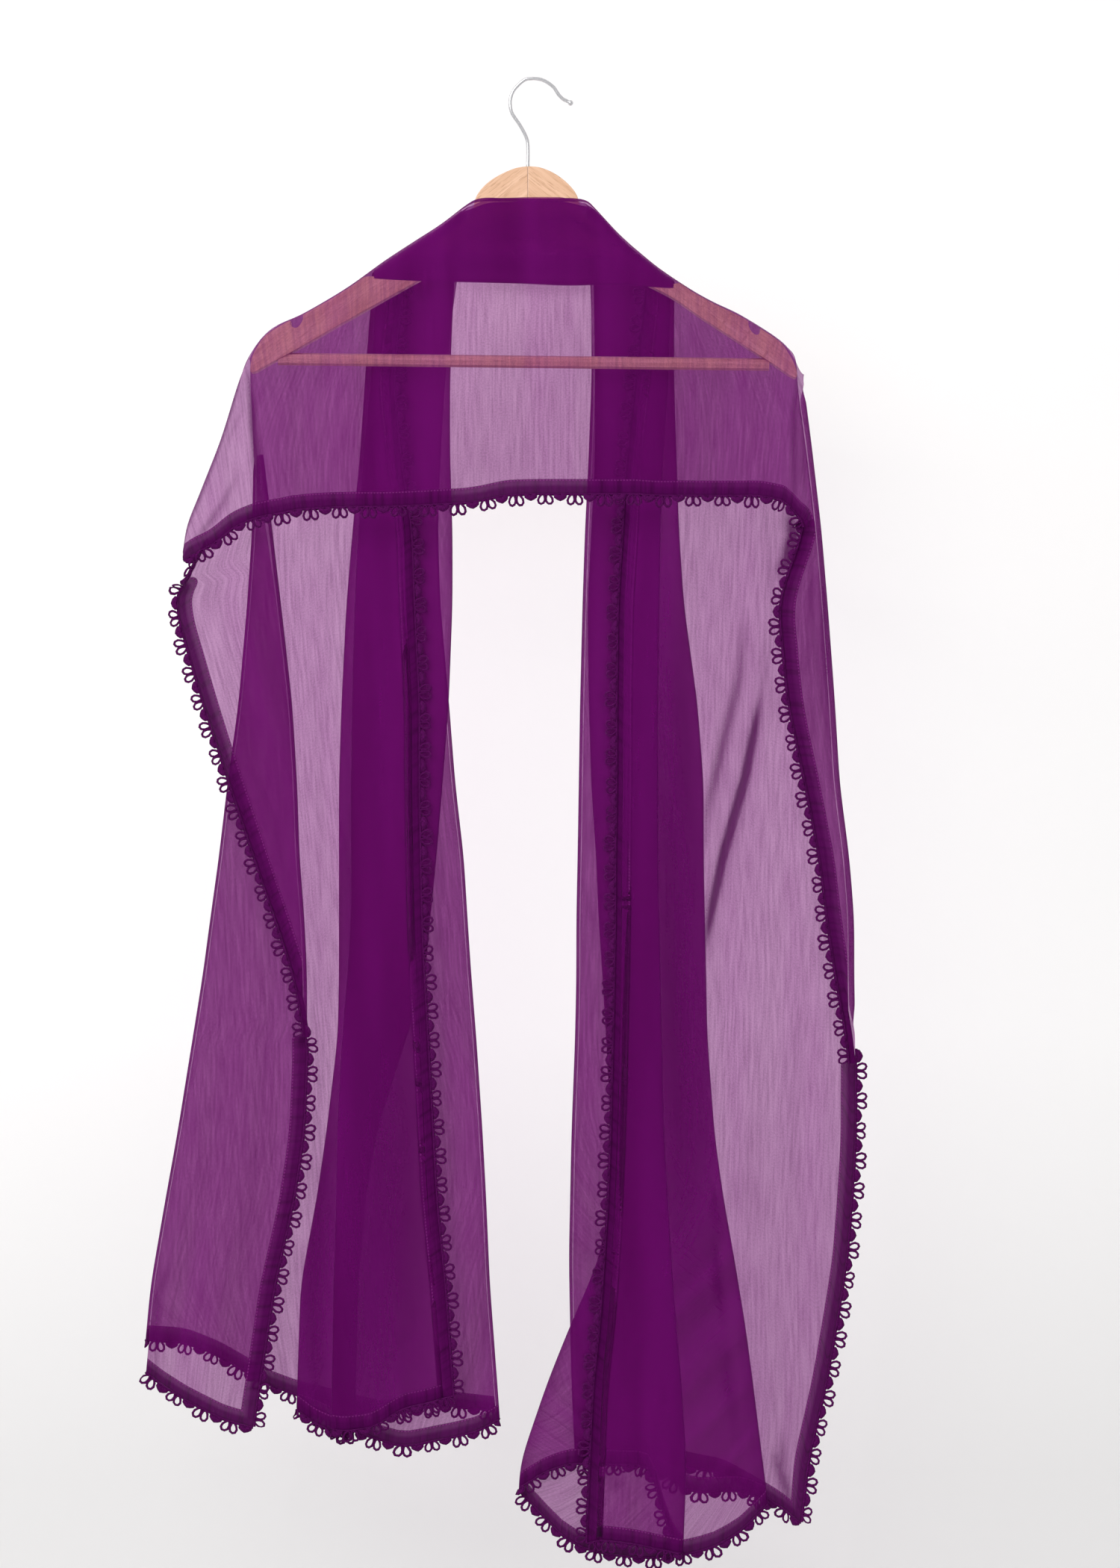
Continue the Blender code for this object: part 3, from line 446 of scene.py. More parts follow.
def over_arm(turn, layer, outer_share=1.0):
    """Depth, lift and curl of a layer at an angle of its turn over the arm."""
    angle = math.radians(turn)
    number = layer * outer_share
    near = NEAR_FIRST + NEAR_PITCH * number
    curl = CURL_FIRST + LIFT_PITCH * number
    return near * math.sin(angle), LIFT_PITCH * (OUTER - layer), curl * (1 - math.cos(angle))


def beside_neck(across):
    """Small by the hanger's neck, 1 well out along the arm."""
    return between(0.15, 1.0, smooth((abs(across) - 44) / 60))


def band_rails(layer):
    """The fold lines that a pleat of the band lies between."""
    folds = ("hem", "fold_6", "fold_5", "fold_4", "fold_3")
    return folds[layer + 1], folds[layer]


def band_columns(flats):
    """Fine columns right across the four pleats of the band."""
    columns = []
    for layer in (3, 2, 1, 0):
        columns += [(layer, "turn", step / 8) for step in range(9)]
        columns += [(layer, "flat", step / (flats + 1)) for step in range(1, flats + 1)]
    return columns + [(0, "far", value) for value in HEM_STEPS]


def band_spot(column, start, end, shut, clear):
    """Place across between two folds, and the layer number, for one column."""
    layer, kind, value = column
    way = 1.0 if end > start else -1.0
    if kind == "turn":
        angle = math.pi * (value - 0.5)
        folded = FOLD_RADIUS * (1 - math.cos(angle))
        bent = 0.5 - 0.5 * math.sin(angle)
        if layer == 3:
            opened = clear * value
            return start + way * between(opened, folded, shut), layer + shut * bent
        return start + way * folded, layer + bent
    if kind == "far":
        return end - way * value, layer
    opening = FOLD_RADIUS
    if layer == 3:
        opening = between(clear, FOLD_RADIUS, shut)
    return between(start + way * opening, end - way * FOLD_RADIUS, value), layer


def band_point(panel, row, column):
    """A point of the hanging band in millimetres."""
    hang = hanging(row)
    down = panel.start_down(row)
    for _ in range(4):
        start, end = [panel.rail(name, down) for name in band_rails(column[0])]
        across, number = band_spot(column, start, end, hang, 3.0)
        down = panel.level(row, across, column[0], False)
        if row[0] in ("foot", "last") and number > column[0]:
            other = panel.level(row, across, min(column[0] + 1, 3), False)
            down = between(down, other, number - column[0])
    turn = row[1] if row[0] == "arm" else 90
    near, lift, curl = over_arm(turn, number)
    if row[0] == "arm":
        down += lift + curl
    return across, between(near, HANG_FIRST + HANG_PITCH * number, hang), -down


def single_spot(sheet, column, start, end, shut):
    """Place across, and the share of its neighbour's depth, for one column."""
    kind, value = column
    way = 1.0 if end > start else -1.0
    last = end - way * sheet.inset
    narrow = abs(end - start) < 3 * HEM_WIDTH
    if kind == "turn":
        angle = math.pi * (value - 0.5)
        folded = start + way * sheet.radius * (1 - math.cos(angle))
        opened = start + way * sheet.radius * value
        return between(opened, folded, shut), shut * 0.5 * (1 - math.sin(angle))
    first = start + way * (HEM_WIDTH + 1)
    if narrow:
        first = between(start + way * sheet.radius, last, 0.4)
    if kind == "edge":
        return between(start + way * sheet.radius, first, value), 0.0
    return between(first, last, value), 0.0


def shut_at(sheet, down):
    """1 at the levels where a sheet's first fold is shut."""
    shut_from, shut_to = sheet.shut
    return smooth((down - shut_from) / 20) * (1 - smooth((down - shut_to) / 30))


def single_point(panel, row, column, sheet):
    """A point of a single hanging sheet in millimetres."""
    down = panel.start_down(row)
    for _ in range(5):
        start, end = panel.rail(sheet.start, down), panel.rail(sheet.end, down)
        across, bent = single_spot(sheet, column, start, end, shut_at(sheet, down))
        down = panel.level(row, across, sheet.foot, True)
    depth = between(sheet.own(panel, across, down), sheet.neighbour(panel, across, down), bent)
    if row[0] in ("arm", "drop"):
        turn = row[1] if row[0] == "arm" else 90
        near, lift, curl = over_arm(turn, OUTER, panel.band_zone(across))
        depth = between(near, depth, hanging(row))
        down += curl * (row[0] == "arm")
    return across, depth, -down


def behind_band(panel, across, down, rail, side_depth):
    """The outer sheet's depth: behind the band, and nearer at its side."""
    inner = abs(panel.rail("fold_4", down)) + 8
    outer = max(inner + 6, abs(panel.rail(rail, down)))
    return between(BACKMOST, side_depth, smooth((abs(across) - inner) / (outer - inner)))


# Depths of the single sheets, for Sheet's own and neighbour.
def back_left_depth(panel, across, down):
    return behind_band(panel, across, down, "fold_2", 20.0)


def back_right_depth(panel, across, down):
    return behind_band(panel, across, down, "turn", 12.0)


def tuck_depth(panel, across, down):
    return TUCK_DEPTH


def flap_depth(panel, across, down):
    return between(3.0, 6.0, smooth((down - 300) / 400))


def front_depth(panel, across, down):
    return between(-10.0, 5.0, smooth((down - 380) / 380))


def yoke_side_depth(panel, across, down):
    return YOKE_SIDE_DEPTH


def refine(grid, factor):
    """The same rows of points with more rows between them, on a round curve."""
    net = np.asarray(grid, float)
    padded = np.concatenate([2 * net[:1] - net[1:2], net, 2 * net[-1:] - net[-2:-1]])
    steps = []
    for number in range(len(net) - 1):
        before, first, second, after = padded[number:number + 4]
        for step in range(factor):
            part = step / factor
            tangent = 0.5 * (second - before), 0.5 * (after - first)
            cube, square = part ** 3, part ** 2
            steps.append(
                (2 * cube - 3 * square + 1) * first + (cube - 2 * square + part) * tangent[0]
                + (3 * square - 2 * cube) * second + (cube - square) * tangent[1]
            )
    steps.append(net[-1])
    return np.array(steps)


def off_route(points, route):
    """Distance of each point from a crease's route, and how far along it lies."""
    best = np.full(points.shape[:-1], 1e9)
    along = np.zeros(points.shape[:-1])
    count = len(route) - 1
    for number in range(count):
        first = np.array(route[number], float)
        run = np.array(route[number + 1], float) - first
        part = np.clip(((points - first) @ run) / (run @ run), 0, 1)
        away = np.linalg.norm(points - first - part[..., None] * run, axis=-1)
        nearer = away < best
        best = np.where(nearer, away, best)
        along = np.where(nearer, (number + part) / count, along)
    return best, along


def crumple(name, net, fold):
    """Press the listed creases and a slow ripple into a sheet."""
    flat = np.stack([net[..., 0], -net[..., 2]], axis=-1)
    out = net.copy()
    # The sheet's painted shade: its folds' own, and each crease's laid along its route.
    dark = fold.copy()
    for crease_and_shade in CREASES.get(name, ()):
        away, along = off_route(flat, crease_and_shade.route)
        fading = np.sin(np.pi * np.clip(along, 0.02, 0.98)) ** 0.6
        press = np.exp(-((away / crease_and_shade.wide) ** 2)) * fading
        out[..., 1] += crease_and_shade.deep * press
        dark = np.maximum(dark, np.minimum(crease_and_shade.dark * press, 1.0))
    across, down = flat[..., 0], flat[..., 1]
    hang = np.clip((down - 210) / 160, 0, 1)
    slow = np.sin(across / 9.5 + 1.3 * np.sin(down / 140)) * np.sin(down / 170 + across / 60)
    slow += 0.6 * np.sin(across / 5.1 + down / 260 + 0.8 * np.sin(down / 90))
    out[..., 1] += 0.55 * hang * slow
    return out, dark


def mesh_from(shape, name):
    """The finished mesh of a bmesh, which is freed."""
    mesh = bpy.data.meshes.new(name)
    shape.to_mesh(mesh)
    shape.free()
    return mesh


def keep_piece(mesh, finish, node):
    """Put a mesh in the scene, in the place of its CAD node."""
    piece = bpy.data.objects.new(mesh.name, mesh)
    bpy.context.scene.collection.objects.link(piece)
    mesh.materials.append(finish)
    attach(piece, "root")
    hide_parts(node)
    return piece


def sheet_piece(name, net, side, foot, fold, finish):
    """One open sheet of cloth, on a net of points in millimetres."""
    rows, columns = net.shape[:2]
    along = np.zeros((rows, columns))
    along[1:] = np.cumsum(np.linalg.norm(np.diff(net, axis=0), axis=-1), axis=0)
    wide = np.zeros((rows, columns))
    wide[:, 1:] = np.cumsum(np.linalg.norm(np.diff(net, axis=1), axis=-1), axis=1)
    # The weave runs straight over the yoke and the collar, and follows the inner
    # end of the layers that open at their side.
    if name == "yoke_front":
        wide = np.tile(wide[rows * 3 // 4], (rows, 1))
    if name == "collar_band":
        wide = np.tile(wide[rows // 2], (rows, 1))
    if name.startswith("back_") or name.startswith("band_"):
        wide = wide - wide[:, -1:]
    net, fold = crumple(name, net, fold)
    shape = bmesh.new()
    bmesh.ops.create_grid(shape, x_segments=columns - 1, y_segments=rows - 1, size=0.5)
    # Each point keeps how far it lies from the hems, and the painted shade of its folds and creases, which
    # also makes the cloth denser there.
    layers = {key: shape.verts.layers.float.new(key) for key in ("side_hem", "foot_hem", "crease_and_shade")}
    weave = shape.loops.layers.uv.new("UVMap")
    shape.verts.ensure_lookup_table()
    spots = {}
    for vert in shape.verts:
        column = round((vert.co.x + 0.5) * (columns - 1))
        row = round((vert.co.y + 0.5) * (rows - 1))
        spots[vert.index] = (row, column)
        vert.co = Vector(net[row, column]) * MM
        vert[layers["side_hem"]] = side[row, column]
        vert[layers["foot_hem"]] = foot[row, column]
        vert[layers["crease_and_shade"]] = fold[row, column]
    for face in shape.faces:
        face.smooth = True
        for loop in face.loops:
            spot = spots[loop.vert.index]
            loop[weave].uv = (wide[spot] * MM, along[spot] * MM)
    sheets[name] = keep_piece(mesh_from(shape, name + "_chiffon"), finish, name)


def in_turn(kind, value):
    """1 in the middle of a fold's turn and 0 beside it."""
    return 1 - abs(2 * value - 1) if kind == "turn" else 0.0


def band_hem(columns, count):
    """How far each column of the band lies from its free hem."""
    return np.tile([value if kind == "far" else FAR_FROM_HEM for layer, kind, value in columns], (count, 1))


def foot_hem(rows, count):
    """How far each row lies from the hem at the foot."""
    away = [value if kind == "foot" else FAR_FROM_HEM for kind, value in rows]
    return np.tile(np.array(away)[:, None], (1, count))


def shade_beside_fold(across, fold, wide, dark):
    """A soft band of painted shade on each side of a fold."""
    return dark * np.exp(-(((across - fold) / wide) ** 2))


def band_sheet(panel, name, finish):
    """The four pleats of one side, over the arm and down to the foot."""
    rows = panel.rows()
    columns = band_columns(17)
    net = np.array([[band_point(panel, row, column) for column in columns] for row in rows])
    side, foot = band_hem(columns, len(rows)), foot_hem(rows, len(columns))
    turning = [in_turn(kind, value) for layer, kind, value in columns]
    # Painted shade along the turn of each pleat's fold.
    fold = np.tile(turning, (len(rows), 1)) * PAINTED_FOLD_SHADE
    # A soft band of painted shade beside each fold.
    for middle in [number for number, value in enumerate(turning) if value > 0.99]:
        near = slice(max(0, middle - 12), middle + 13)
        band = shade_beside_fold(net[:, near, 0], net[:, middle:middle + 1, 0], 4.5, 0.32)
        fold[:, near] = np.maximum(fold[:, near], band)
    sheet_piece(name, net, side, foot, fold, finish)
    hung = net[len(ARM_TURNS) - 1:]
    borders[f"lace_{name}"] = hung[:, -1], hung[:, HEM_INSIDE]
    borders[f"lace_{name}_end"] = net[-1], net[HEM_INSIDE]


def single_sheet(panel, name, sheet, rows, finish, hem_from=None, first="turn", flats=30, top=None):
    """One hanging layer.

    hem_from is how far down its first edge becomes a free hem, and top is the
    line that its first row follows.
    """
    turns = [("turn", step / 10) for step in range(11)]
    if first == "edge":
        turns = [("turn", step / 4) for step in range(4)] + [("turn", 1.0)]
    columns = turns + [("edge", step / 6) for step in range(1, 6)]
    columns += [("flat", step / flats) for step in range(flats + 1)]
    net = np.array([[single_point(panel, row, column, sheet) for column in columns] for row in rows])
    if top is not None:
        start, settled = rows[0][1], rows[0][1] + 90
        for spot in np.ndindex(net.shape[:2]):
            across, depth, height = net[spot]
            if -height < settled:
                line = at_curve(top, across)
                net[spot][2] = -(line + (-height - start) * (settled - line) / (settled - start))
    away = np.linalg.norm(net - net[:, :1], axis=-1)
    down = -net[:, :1, 2]
    if hem_from is None:
        side = np.full(net.shape[:2], FAR_FROM_HEM)
    else:
        opening = np.clip((down - hem_from) / 12, 0, 1)
        side = away + (1 - opening) * FAR_FROM_HEM
    foot = foot_hem(rows, len(columns))
    turning = np.array([in_turn(kind, value) for kind, value in columns])
    shut = np.array([[shut_at(sheet, value)] for value in down[:, 0]])
    # Painted shade along the turn of the first fold, where it is shut.
    fold = turning[None, :] * shut * PAINTED_FOLD_SHADE
    # A soft band of painted shade beside the fold.
    middle = int(np.argmax(turning))
    if turning[middle] > 0.9:
        band = shade_beside_fold(net[..., 0], net[:, middle:middle + 1, 0], 5.0, 0.35)
        fold = np.maximum(fold, shut * band)
    sheet_piece(name, net, side, foot, fold, finish)
    if hem_from is not None:
        free = net[int(np.argmax(down[:, 0] >= hem_from)):]
        borders[f"lace_{name}"] = free[:, 0], free[:, SIDE_INSIDE]
    if rows[-1][0] == "foot":
        borders[f"lace_{name}_end"] = net[-1], net[HEM_INSIDE]


def yoke_upper(edge, across, top_down, pleats):
    """Depth and level of the yoke's first rows, over the arm or in the neck's fold."""
    front = NEAR_FIRST + NEAR_PITCH * OUTER * pleats
    if edge == "over":
        rows = [over_arm(turn, OUTER, pleats) for turn in YOKE_TURNS]
        return [(-near, top_down + curl * beside_neck(across)) for near, lift, curl in rows]
    if edge == "fold":
        half = NEAR_PITCH / 2
        angles = [math.radians(2 * turn - 90) for turn in YOKE_TURNS]
        return [
            (half - front - half * math.sin(angle), top_down + FOLD_RADIUS * (1 - math.cos(angle)))
            for angle in angles
        ]
    return [(-front, None)] * len(YOKE_TURNS)


def yoke_sheet(finish):
    """The single front layer, from the arms down to its hem."""
    last = len(YOKE_TURNS) - 1
    net, foot = [], []
    for top, top_down, low, low_down, edge, pleats in YOKE_LINES:
        front = NEAR_FIRST + NEAR_PITCH * OUTER * pleats
        length = math.hypot(low - top, low_down - top_down)
        upper = [min(12 * step / last / length, step / 28) for step in range(last + 1)]
        shares = (2, 1.9, 1.5, 1, 0.5, 0)
        hem = [1 - min(reach / length, part / 6) for reach, part in zip(HEM_STEPS, shares)]
        body = [between(upper[-1], hem[0], step / YOKE_ROWS) for step in range(1, YOKE_ROWS)]
        foot_front = between(front, YOKE_FOOT_DEPTH, 0.6)
        first = yoke_upper(edge, top, top_down, pleats)
        line = []
        for number, part in enumerate(upper + body + hem):
            across, down = between(top, low, part), between(top_down, low_down, part)
            depth = -between(front, foot_front, smooth((number - last) / YOKE_ROWS))
            if number <= last:
                depth, level = first[number]
                if level is not None:
                    across, down = top, level
            line.append((across, depth, -down))
        net.append(line)
        foot.append([(1 - part) * length for part in upper + body + hem])
    net = refine(net, 5).transpose(1, 0, 2)
    foot = refine(foot, 5).T
    side = np.full(foot.shape, FAR_FROM_HEM)
    fold = np.zeros(foot.shape)
    # Painted shade along the yoke's top, where it turns over the arms.
    fold[:5] = np.array([0.75, 0.7, 0.5, 0.3, 0.12])[:, None]
    sheet_piece("yoke_front", net, side, foot, fold, finish)
    borders["lace_yoke"] = net[-1], net[HEM_INSIDE]


def collar_sheet(left, right, finish):
    """The pleated stretch across the front of the hanger's neck."""
    columns = band_columns(9)
    net = []
    for top, top_down, low, low_down, turn, clear, over in COLLAR_LINES:
        length = math.hypot(low - top, low_down - top_down)
        stops = {
            "fold_3": 0.0,
            "fold_4": length,
            "fold_5": 0.0,
            "fold_6": length,
            "hem": COLLAR_HEM_AT * length,
        }
        arm = left.arm if top < 0 else right.arm
        line = []
        for column in columns:
            start, end = [stops[name] for name in band_rails(column[0])]
            along, number = band_spot(column, start, end, 0.0, clear * 0.4)
            across = between(top, low, along / length)
            near, lift, curl = over_arm(turn, number)
            down = between(top_down, low_down, along / length) + lift * (1 - along / length)
            if over:
                down = at_curve(arm, across) + lift + curl * beside_neck(across)
            line.append((across, -near, -down))
        net.append(line)
    net = refine(net, COLLAR_FINER)
    side = band_hem(columns, len(net))
    turning = np.array([in_turn(kind, value) for layer, kind, value in columns])
    # Painted shade along the turn of each pleat.
    fold = np.tile(turning * 0.6, (len(net), 1))
    sheet_piece("collar_band", net, side, np.full(side.shape, FAR_FROM_HEM), fold, finish)
    front = net[3 * COLLAR_FINER:-3 * COLLAR_FINER]
    borders["lace_collar"] = front[:, -1], front[:, HEM_INSIDE]


def spin(shape, parts, angle, steps, closed=True):
    """Turn a profile about the upright axis."""
    bmesh.ops.spin(
        shape, geom=parts, cent=(0, 0, 0), axis=(0, 0, 1), dvec=(0, 0, 0), angle=angle, steps=steps,
        use_merge=closed, use_normal_flip=False, use_duplicate=False,
    )


def petal(shape, middle, tilt, size, thread):
    """One picot loop of thread, standing out from the border."""
    kept = set(shape.verts)
    made = bmesh.ops.create_circle(shape, cap_ends=False, segments=4, radius=thread)
    turn = Matrix.Rotation(math.radians(90), 4, "X")
    radius = 2.0 * MM
    bmesh.ops.transform(shape, matrix=Matrix.Translation((radius, 0, 0)) @ turn, verts=made["verts"])
    edges = list({edge for vert in made["verts"] for edge in vert.link_edges})
    spin(shape, made["verts"] + edges, math.tau, 9)
    ring = [vert for vert in shape.verts if vert not in kept]
    for vert in ring:
        away = math.hypot(vert.co.x, vert.co.y)
        low = 0.5 - 0.5 * vert.co.y / away
        flat = Vector((vert.co.x, vert.co.y, 0)) / away * radius
        off = Vector((vert.co.x, vert.co.y, 0)) - flat
        flat.x *= size[0] / radius * (1.0 - 0.45 * low * low)
        flat.y *= size[1] / radius
        vert.co = flat + off + Vector((0, 0, vert.co.z))
    place = Matrix.Translation((middle[0], middle[1], 0)) @ Matrix.Rotation(tilt, 4, "Z")
    bmesh.ops.transform(shape, matrix=place, verts=ring)


def fan(shape, middle, radius, wall):
    """One ribbed scallop of thread, a half round with its ribs standing out."""
    kept = set(shape.verts)
    first = shape.verts.new((0.7 * MM, 0, 0))
    second = shape.verts.new((radius, 0, 0))
    edge = shape.edges.new((first, second))
    spin(shape, [first, second, edge], math.pi, 6, closed=False)
    flat = [vert for vert in shape.verts if vert not in kept]
    for vert in flat:
        angle = math.atan2(vert.co.y, vert.co.x)
        if round(angle / math.pi * 6) % 2:
            vert.co.z += 0.35 * MM
            if vert.co.length > radius * 0.8:
                vert.co *= 1.07
    faces = list({face for vert in flat for face in vert.link_faces})
    bmesh.ops.solidify(shape, geom=faces, thickness=wall)
    made = [vert for vert in shape.verts if vert not in kept]
    bmesh.ops.transform(shape, matrix=Matrix.Translation((middle[0], middle[1], 0)), verts=made)


def header(shape, repeat, thread):
    """The twisted thread that joins the loops and fans to the hem."""
    kept = set(shape.verts)
    made = bmesh.ops.create_cone(
        shape, cap_ends=False, segments=3, radius1=thread, radius2=thread, depth=repeat,
    )
    turn = Matrix.Translation((repeat / 2, 0.5 * MM, 0)) @ Matrix.Rotation(math.radians(90), 4, "Y")
    bmesh.ops.transform(shape, matrix=turn, verts=made["verts"])
    edges = {edge for vert in made["verts"] for edge in vert.link_edges}
    long = [edge for edge in edges if edge.calc_length() > repeat / 2]
    bmesh.ops.subdivide_edges(shape, edges=long, cuts=5, use_grid_fill=False)
    for vert in [vert for vert in shape.verts if vert not in kept]:
        ring = round(vert.co.x / repeat * 6)
        if ring % 2:
            vert.co.y = (vert.co.y - 0.5 * MM) * 0.7 + 0.5 * MM
            vert.co.z *= 0.7


def lace_repeat(settings):
    """One repeat of the edging, as points (along, out, proud) and faces."""
    shape = bmesh.new()
    repeat = settings.repeat
    thread = settings.thread_radius
    length = settings.loop_length
    header(shape, repeat, thread * 1.5)
    fan(shape, (repeat * 0.25, 0.6 * MM), settings.fan_radius, thread * 1.1)
    for place, tilt in ((0.62, 14), (0.87, -16)):
        middle = (repeat * place, 0.5 * MM + length * 0.5)
        petal(shape, middle, math.radians(tilt), (3.0 * MM, length / 2), thread)
    shape.verts.index_update()
    points = [tuple(vert.co) for vert in shape.verts]
    faces = [[vert.index for vert in face.verts] for face in shape.faces]
    shape.free()
    return points, faces


def lace_piece(name, settings, finish):
    """The edging along one border, bent to follow it repeat by repeat."""
    edge, inner = borders[name]
    steps = np.linalg.norm(np.diff(edge, axis=0), axis=1)
    keep = np.concatenate([[True], steps > 1e-6])
    edge, inner = edge[keep] * MM, inner[keep] * MM
    run = np.concatenate([[0], np.cumsum(np.linalg.norm(np.diff(edge, axis=0), axis=1))])
    count = max(1, round(run[-1] / settings.repeat))
    stretch = run[-1] / count / settings.repeat
    fine = np.linspace(0, run[-1], max(8, int(run[-1] / 0.002)))
    path = np.stack([np.interp(fine, run, edge[:, axis]) for axis in range(3)], axis=1)
    inside = np.stack([np.interp(fine, run, inner[:, axis]) for axis in range(3)], axis=1)
    tangent = np.gradient(path, axis=0)
    tangent /= np.linalg.norm(tangent, axis=1)[:, None]
    out = path - inside
    out -= (out * tangent).sum(axis=1)[:, None] * tangent
    out /= np.linalg.norm(out, axis=1)[:, None] + 1e-12
    proud = np.cross(tangent, out)
    points, faces = lace_repeat(settings)
    shape = bmesh.new()
    grain = shape.loops.layers.uv.new("thread")
    for number in range(count):
        made = []
        wobble = math.sin(number * 2.4) * 0.06 + math.sin(number * 5.1) * 0.05
        for along, away, high in points:
            at = min(max(0.0, (number * settings.repeat + along) * stretch), run[-1])
            spot = at / run[-1] * (len(fine) - 1)
            low = min(int(spot), len(fine) - 2)
            part = spot - low
            base = path[low] * (1 - part) + path[low + 1] * part
            way = out[low] * (1 - part) + out[low + 1] * part
            up = proud[low] * (1 - part) + proud[low + 1] * part
            lift = high + away * (0.10 * math.sin(number * 1.7) + 0.05)
            place = base + way * away * (1 + wobble) + up * lift
            made.append((shape.verts.new(place), at, away))
        for face in faces:
            panel = shape.faces.new([made[index][0] for index in face])
            panel.smooth = True
            for loop, index in zip(panel.loops, face):
                loop[grain].uv = (made[index][1], made[index][2])
    bmesh.ops.recalc_face_normals(shape, faces=shape.faces)
    keep_piece(mesh_from(shape, name + "_edging"), finish, name)


class Nodes:
    """Short ways to add nodes to one tree."""

    def __init__(self, tree):
        self.tree = tree

    def fill(self, node, inputs):
        """Fill a node's inputs with values or sockets."""
        for key, value in inputs.items():
            if isinstance(value, bpy.types.NodeSocket):
                self.tree.links.new(value, node.inputs[key])
            else:
                node.inputs[key].default_value = value

    def add(self, kind, inputs=None, **options):
        """Add a node, set its options, fill its inputs and give its outputs."""
        made = self.tree.nodes.new("ShaderNode" + kind)
        for key, value in options.items():
            setattr(made, key, value)
        self.fill(made, inputs or {})
        return made.outputs

    def math(self, operation, first, second=0.0, third=0.0, clamp=False):
        return self.add("Math", {0: first, 1: second, 2: third}, operation=operation, use_clamp=clamp)[0]

    def times(self, first, second):
        return self.math("MULTIPLY", first, second)

    def ramp(self, value, low, high, first=0.0, second=1.0):
        """Map a value's range to another, held at its ends."""
        return self.add("MapRange", {0: value, 1: low, 2: high, 3: first, 4: second})[0]

    def choose(self, part, first, second):
        """A value between two others."""
        return self.add("Mix", {0: part, 2: first, 3: second}, data_type="FLOAT")[0]

    def blend(self, part, first, second):
        """A colour between two others."""
        return self.add("Mix", {0: part, 6: colour(first), 7: colour(second)}, data_type="RGBA")[2]

    def noise(self, vector, scale, detail, roughness=0.5):
        settings = {"Vector": vector, "Scale": scale, "Detail": detail, "Roughness": roughness}
        return self.add("TexNoise", settings)[0]

    def waver(self, vector, scale, detail, roughness=0.5):
        """Noise that runs from -1 to 1."""
        return self.ramp(self.noise(vector, scale, detail, roughness), 0.3, 0.7, -1.0, 1.0)

    def mapped(self, vector, scale):
        return self.add("Mapping", {"Vector": vector, "Scale": scale})[0]

    def strands(self, group, vector, across, along, contrast):
        drawn = {"Vector": vector, "Across": across, "Along": along, "Contrast": contrast}
        return self.add("Group", drawn, node_tree=group)["Strand"]

    def bump(self, height, strength, distance):
        return self.add("Bump", {"Height": height, "Strength": strength, "Distance": distance})[0]

    def show(self, part, first, second):
        """Make the surface one shader where part is 0 and the other where it is 1."""
        both = self.add("MixShader", {0: part, 1: first, 2: second})[0]
        self.fill(self.tree.nodes["Material Output"], {0: both})


def colour(value):
    """A socket as it is, and a plain colour with its alpha."""
    return value if isinstance(value, bpy.types.NodeSocket) else (*value[:3], 1.0)


def new_finish(name):
    """A new material, its nodes and its main shader."""
    made = bpy.data.materials.new(name)
    made.use_nodes = True
    return Nodes(made.node_tree), made.node_tree.nodes["Principled BSDF"]


def strand_group():
    """Fine threads, drawn out along one way: a value that varies about one half."""
    tree = bpy.data.node_groups.new("drawn_strands", "ShaderNodeTree")
    tree.interface.new_socket("Vector", in_out="INPUT", socket_type="NodeSocketVector")
    for name in ("Across", "Along", "Contrast"):
        tree.interface.new_socket(name, in_out="INPUT", socket_type="NodeSocketFloat")
    tree.interface.new_socket("Strand", in_out="OUTPUT", socket_type="NodeSocketFloat")
    given = tree.nodes.new("NodeGroupInput").outputs
    result = tree.nodes.new("NodeGroupOutput")
    nodes = Nodes(tree)
    size = nodes.add("CombineXYZ", {0: given["Across"], 1: given["Along"], 2: given["Across"]})[0]
    scaled = nodes.add("VectorMath", {0: given["Vector"], 1: size}, operation="MULTIPLY")[0]
    centred = nodes.math("SUBTRACT", nodes.noise(scaled, 1.0, 2.0, 0.6), 0.5)
    wider = nodes.times(centred, given["Contrast"])
    nodes.fill(result, {"Strand": nodes.math("ADD", wider, 0.5, clamp=True)})
    return tree


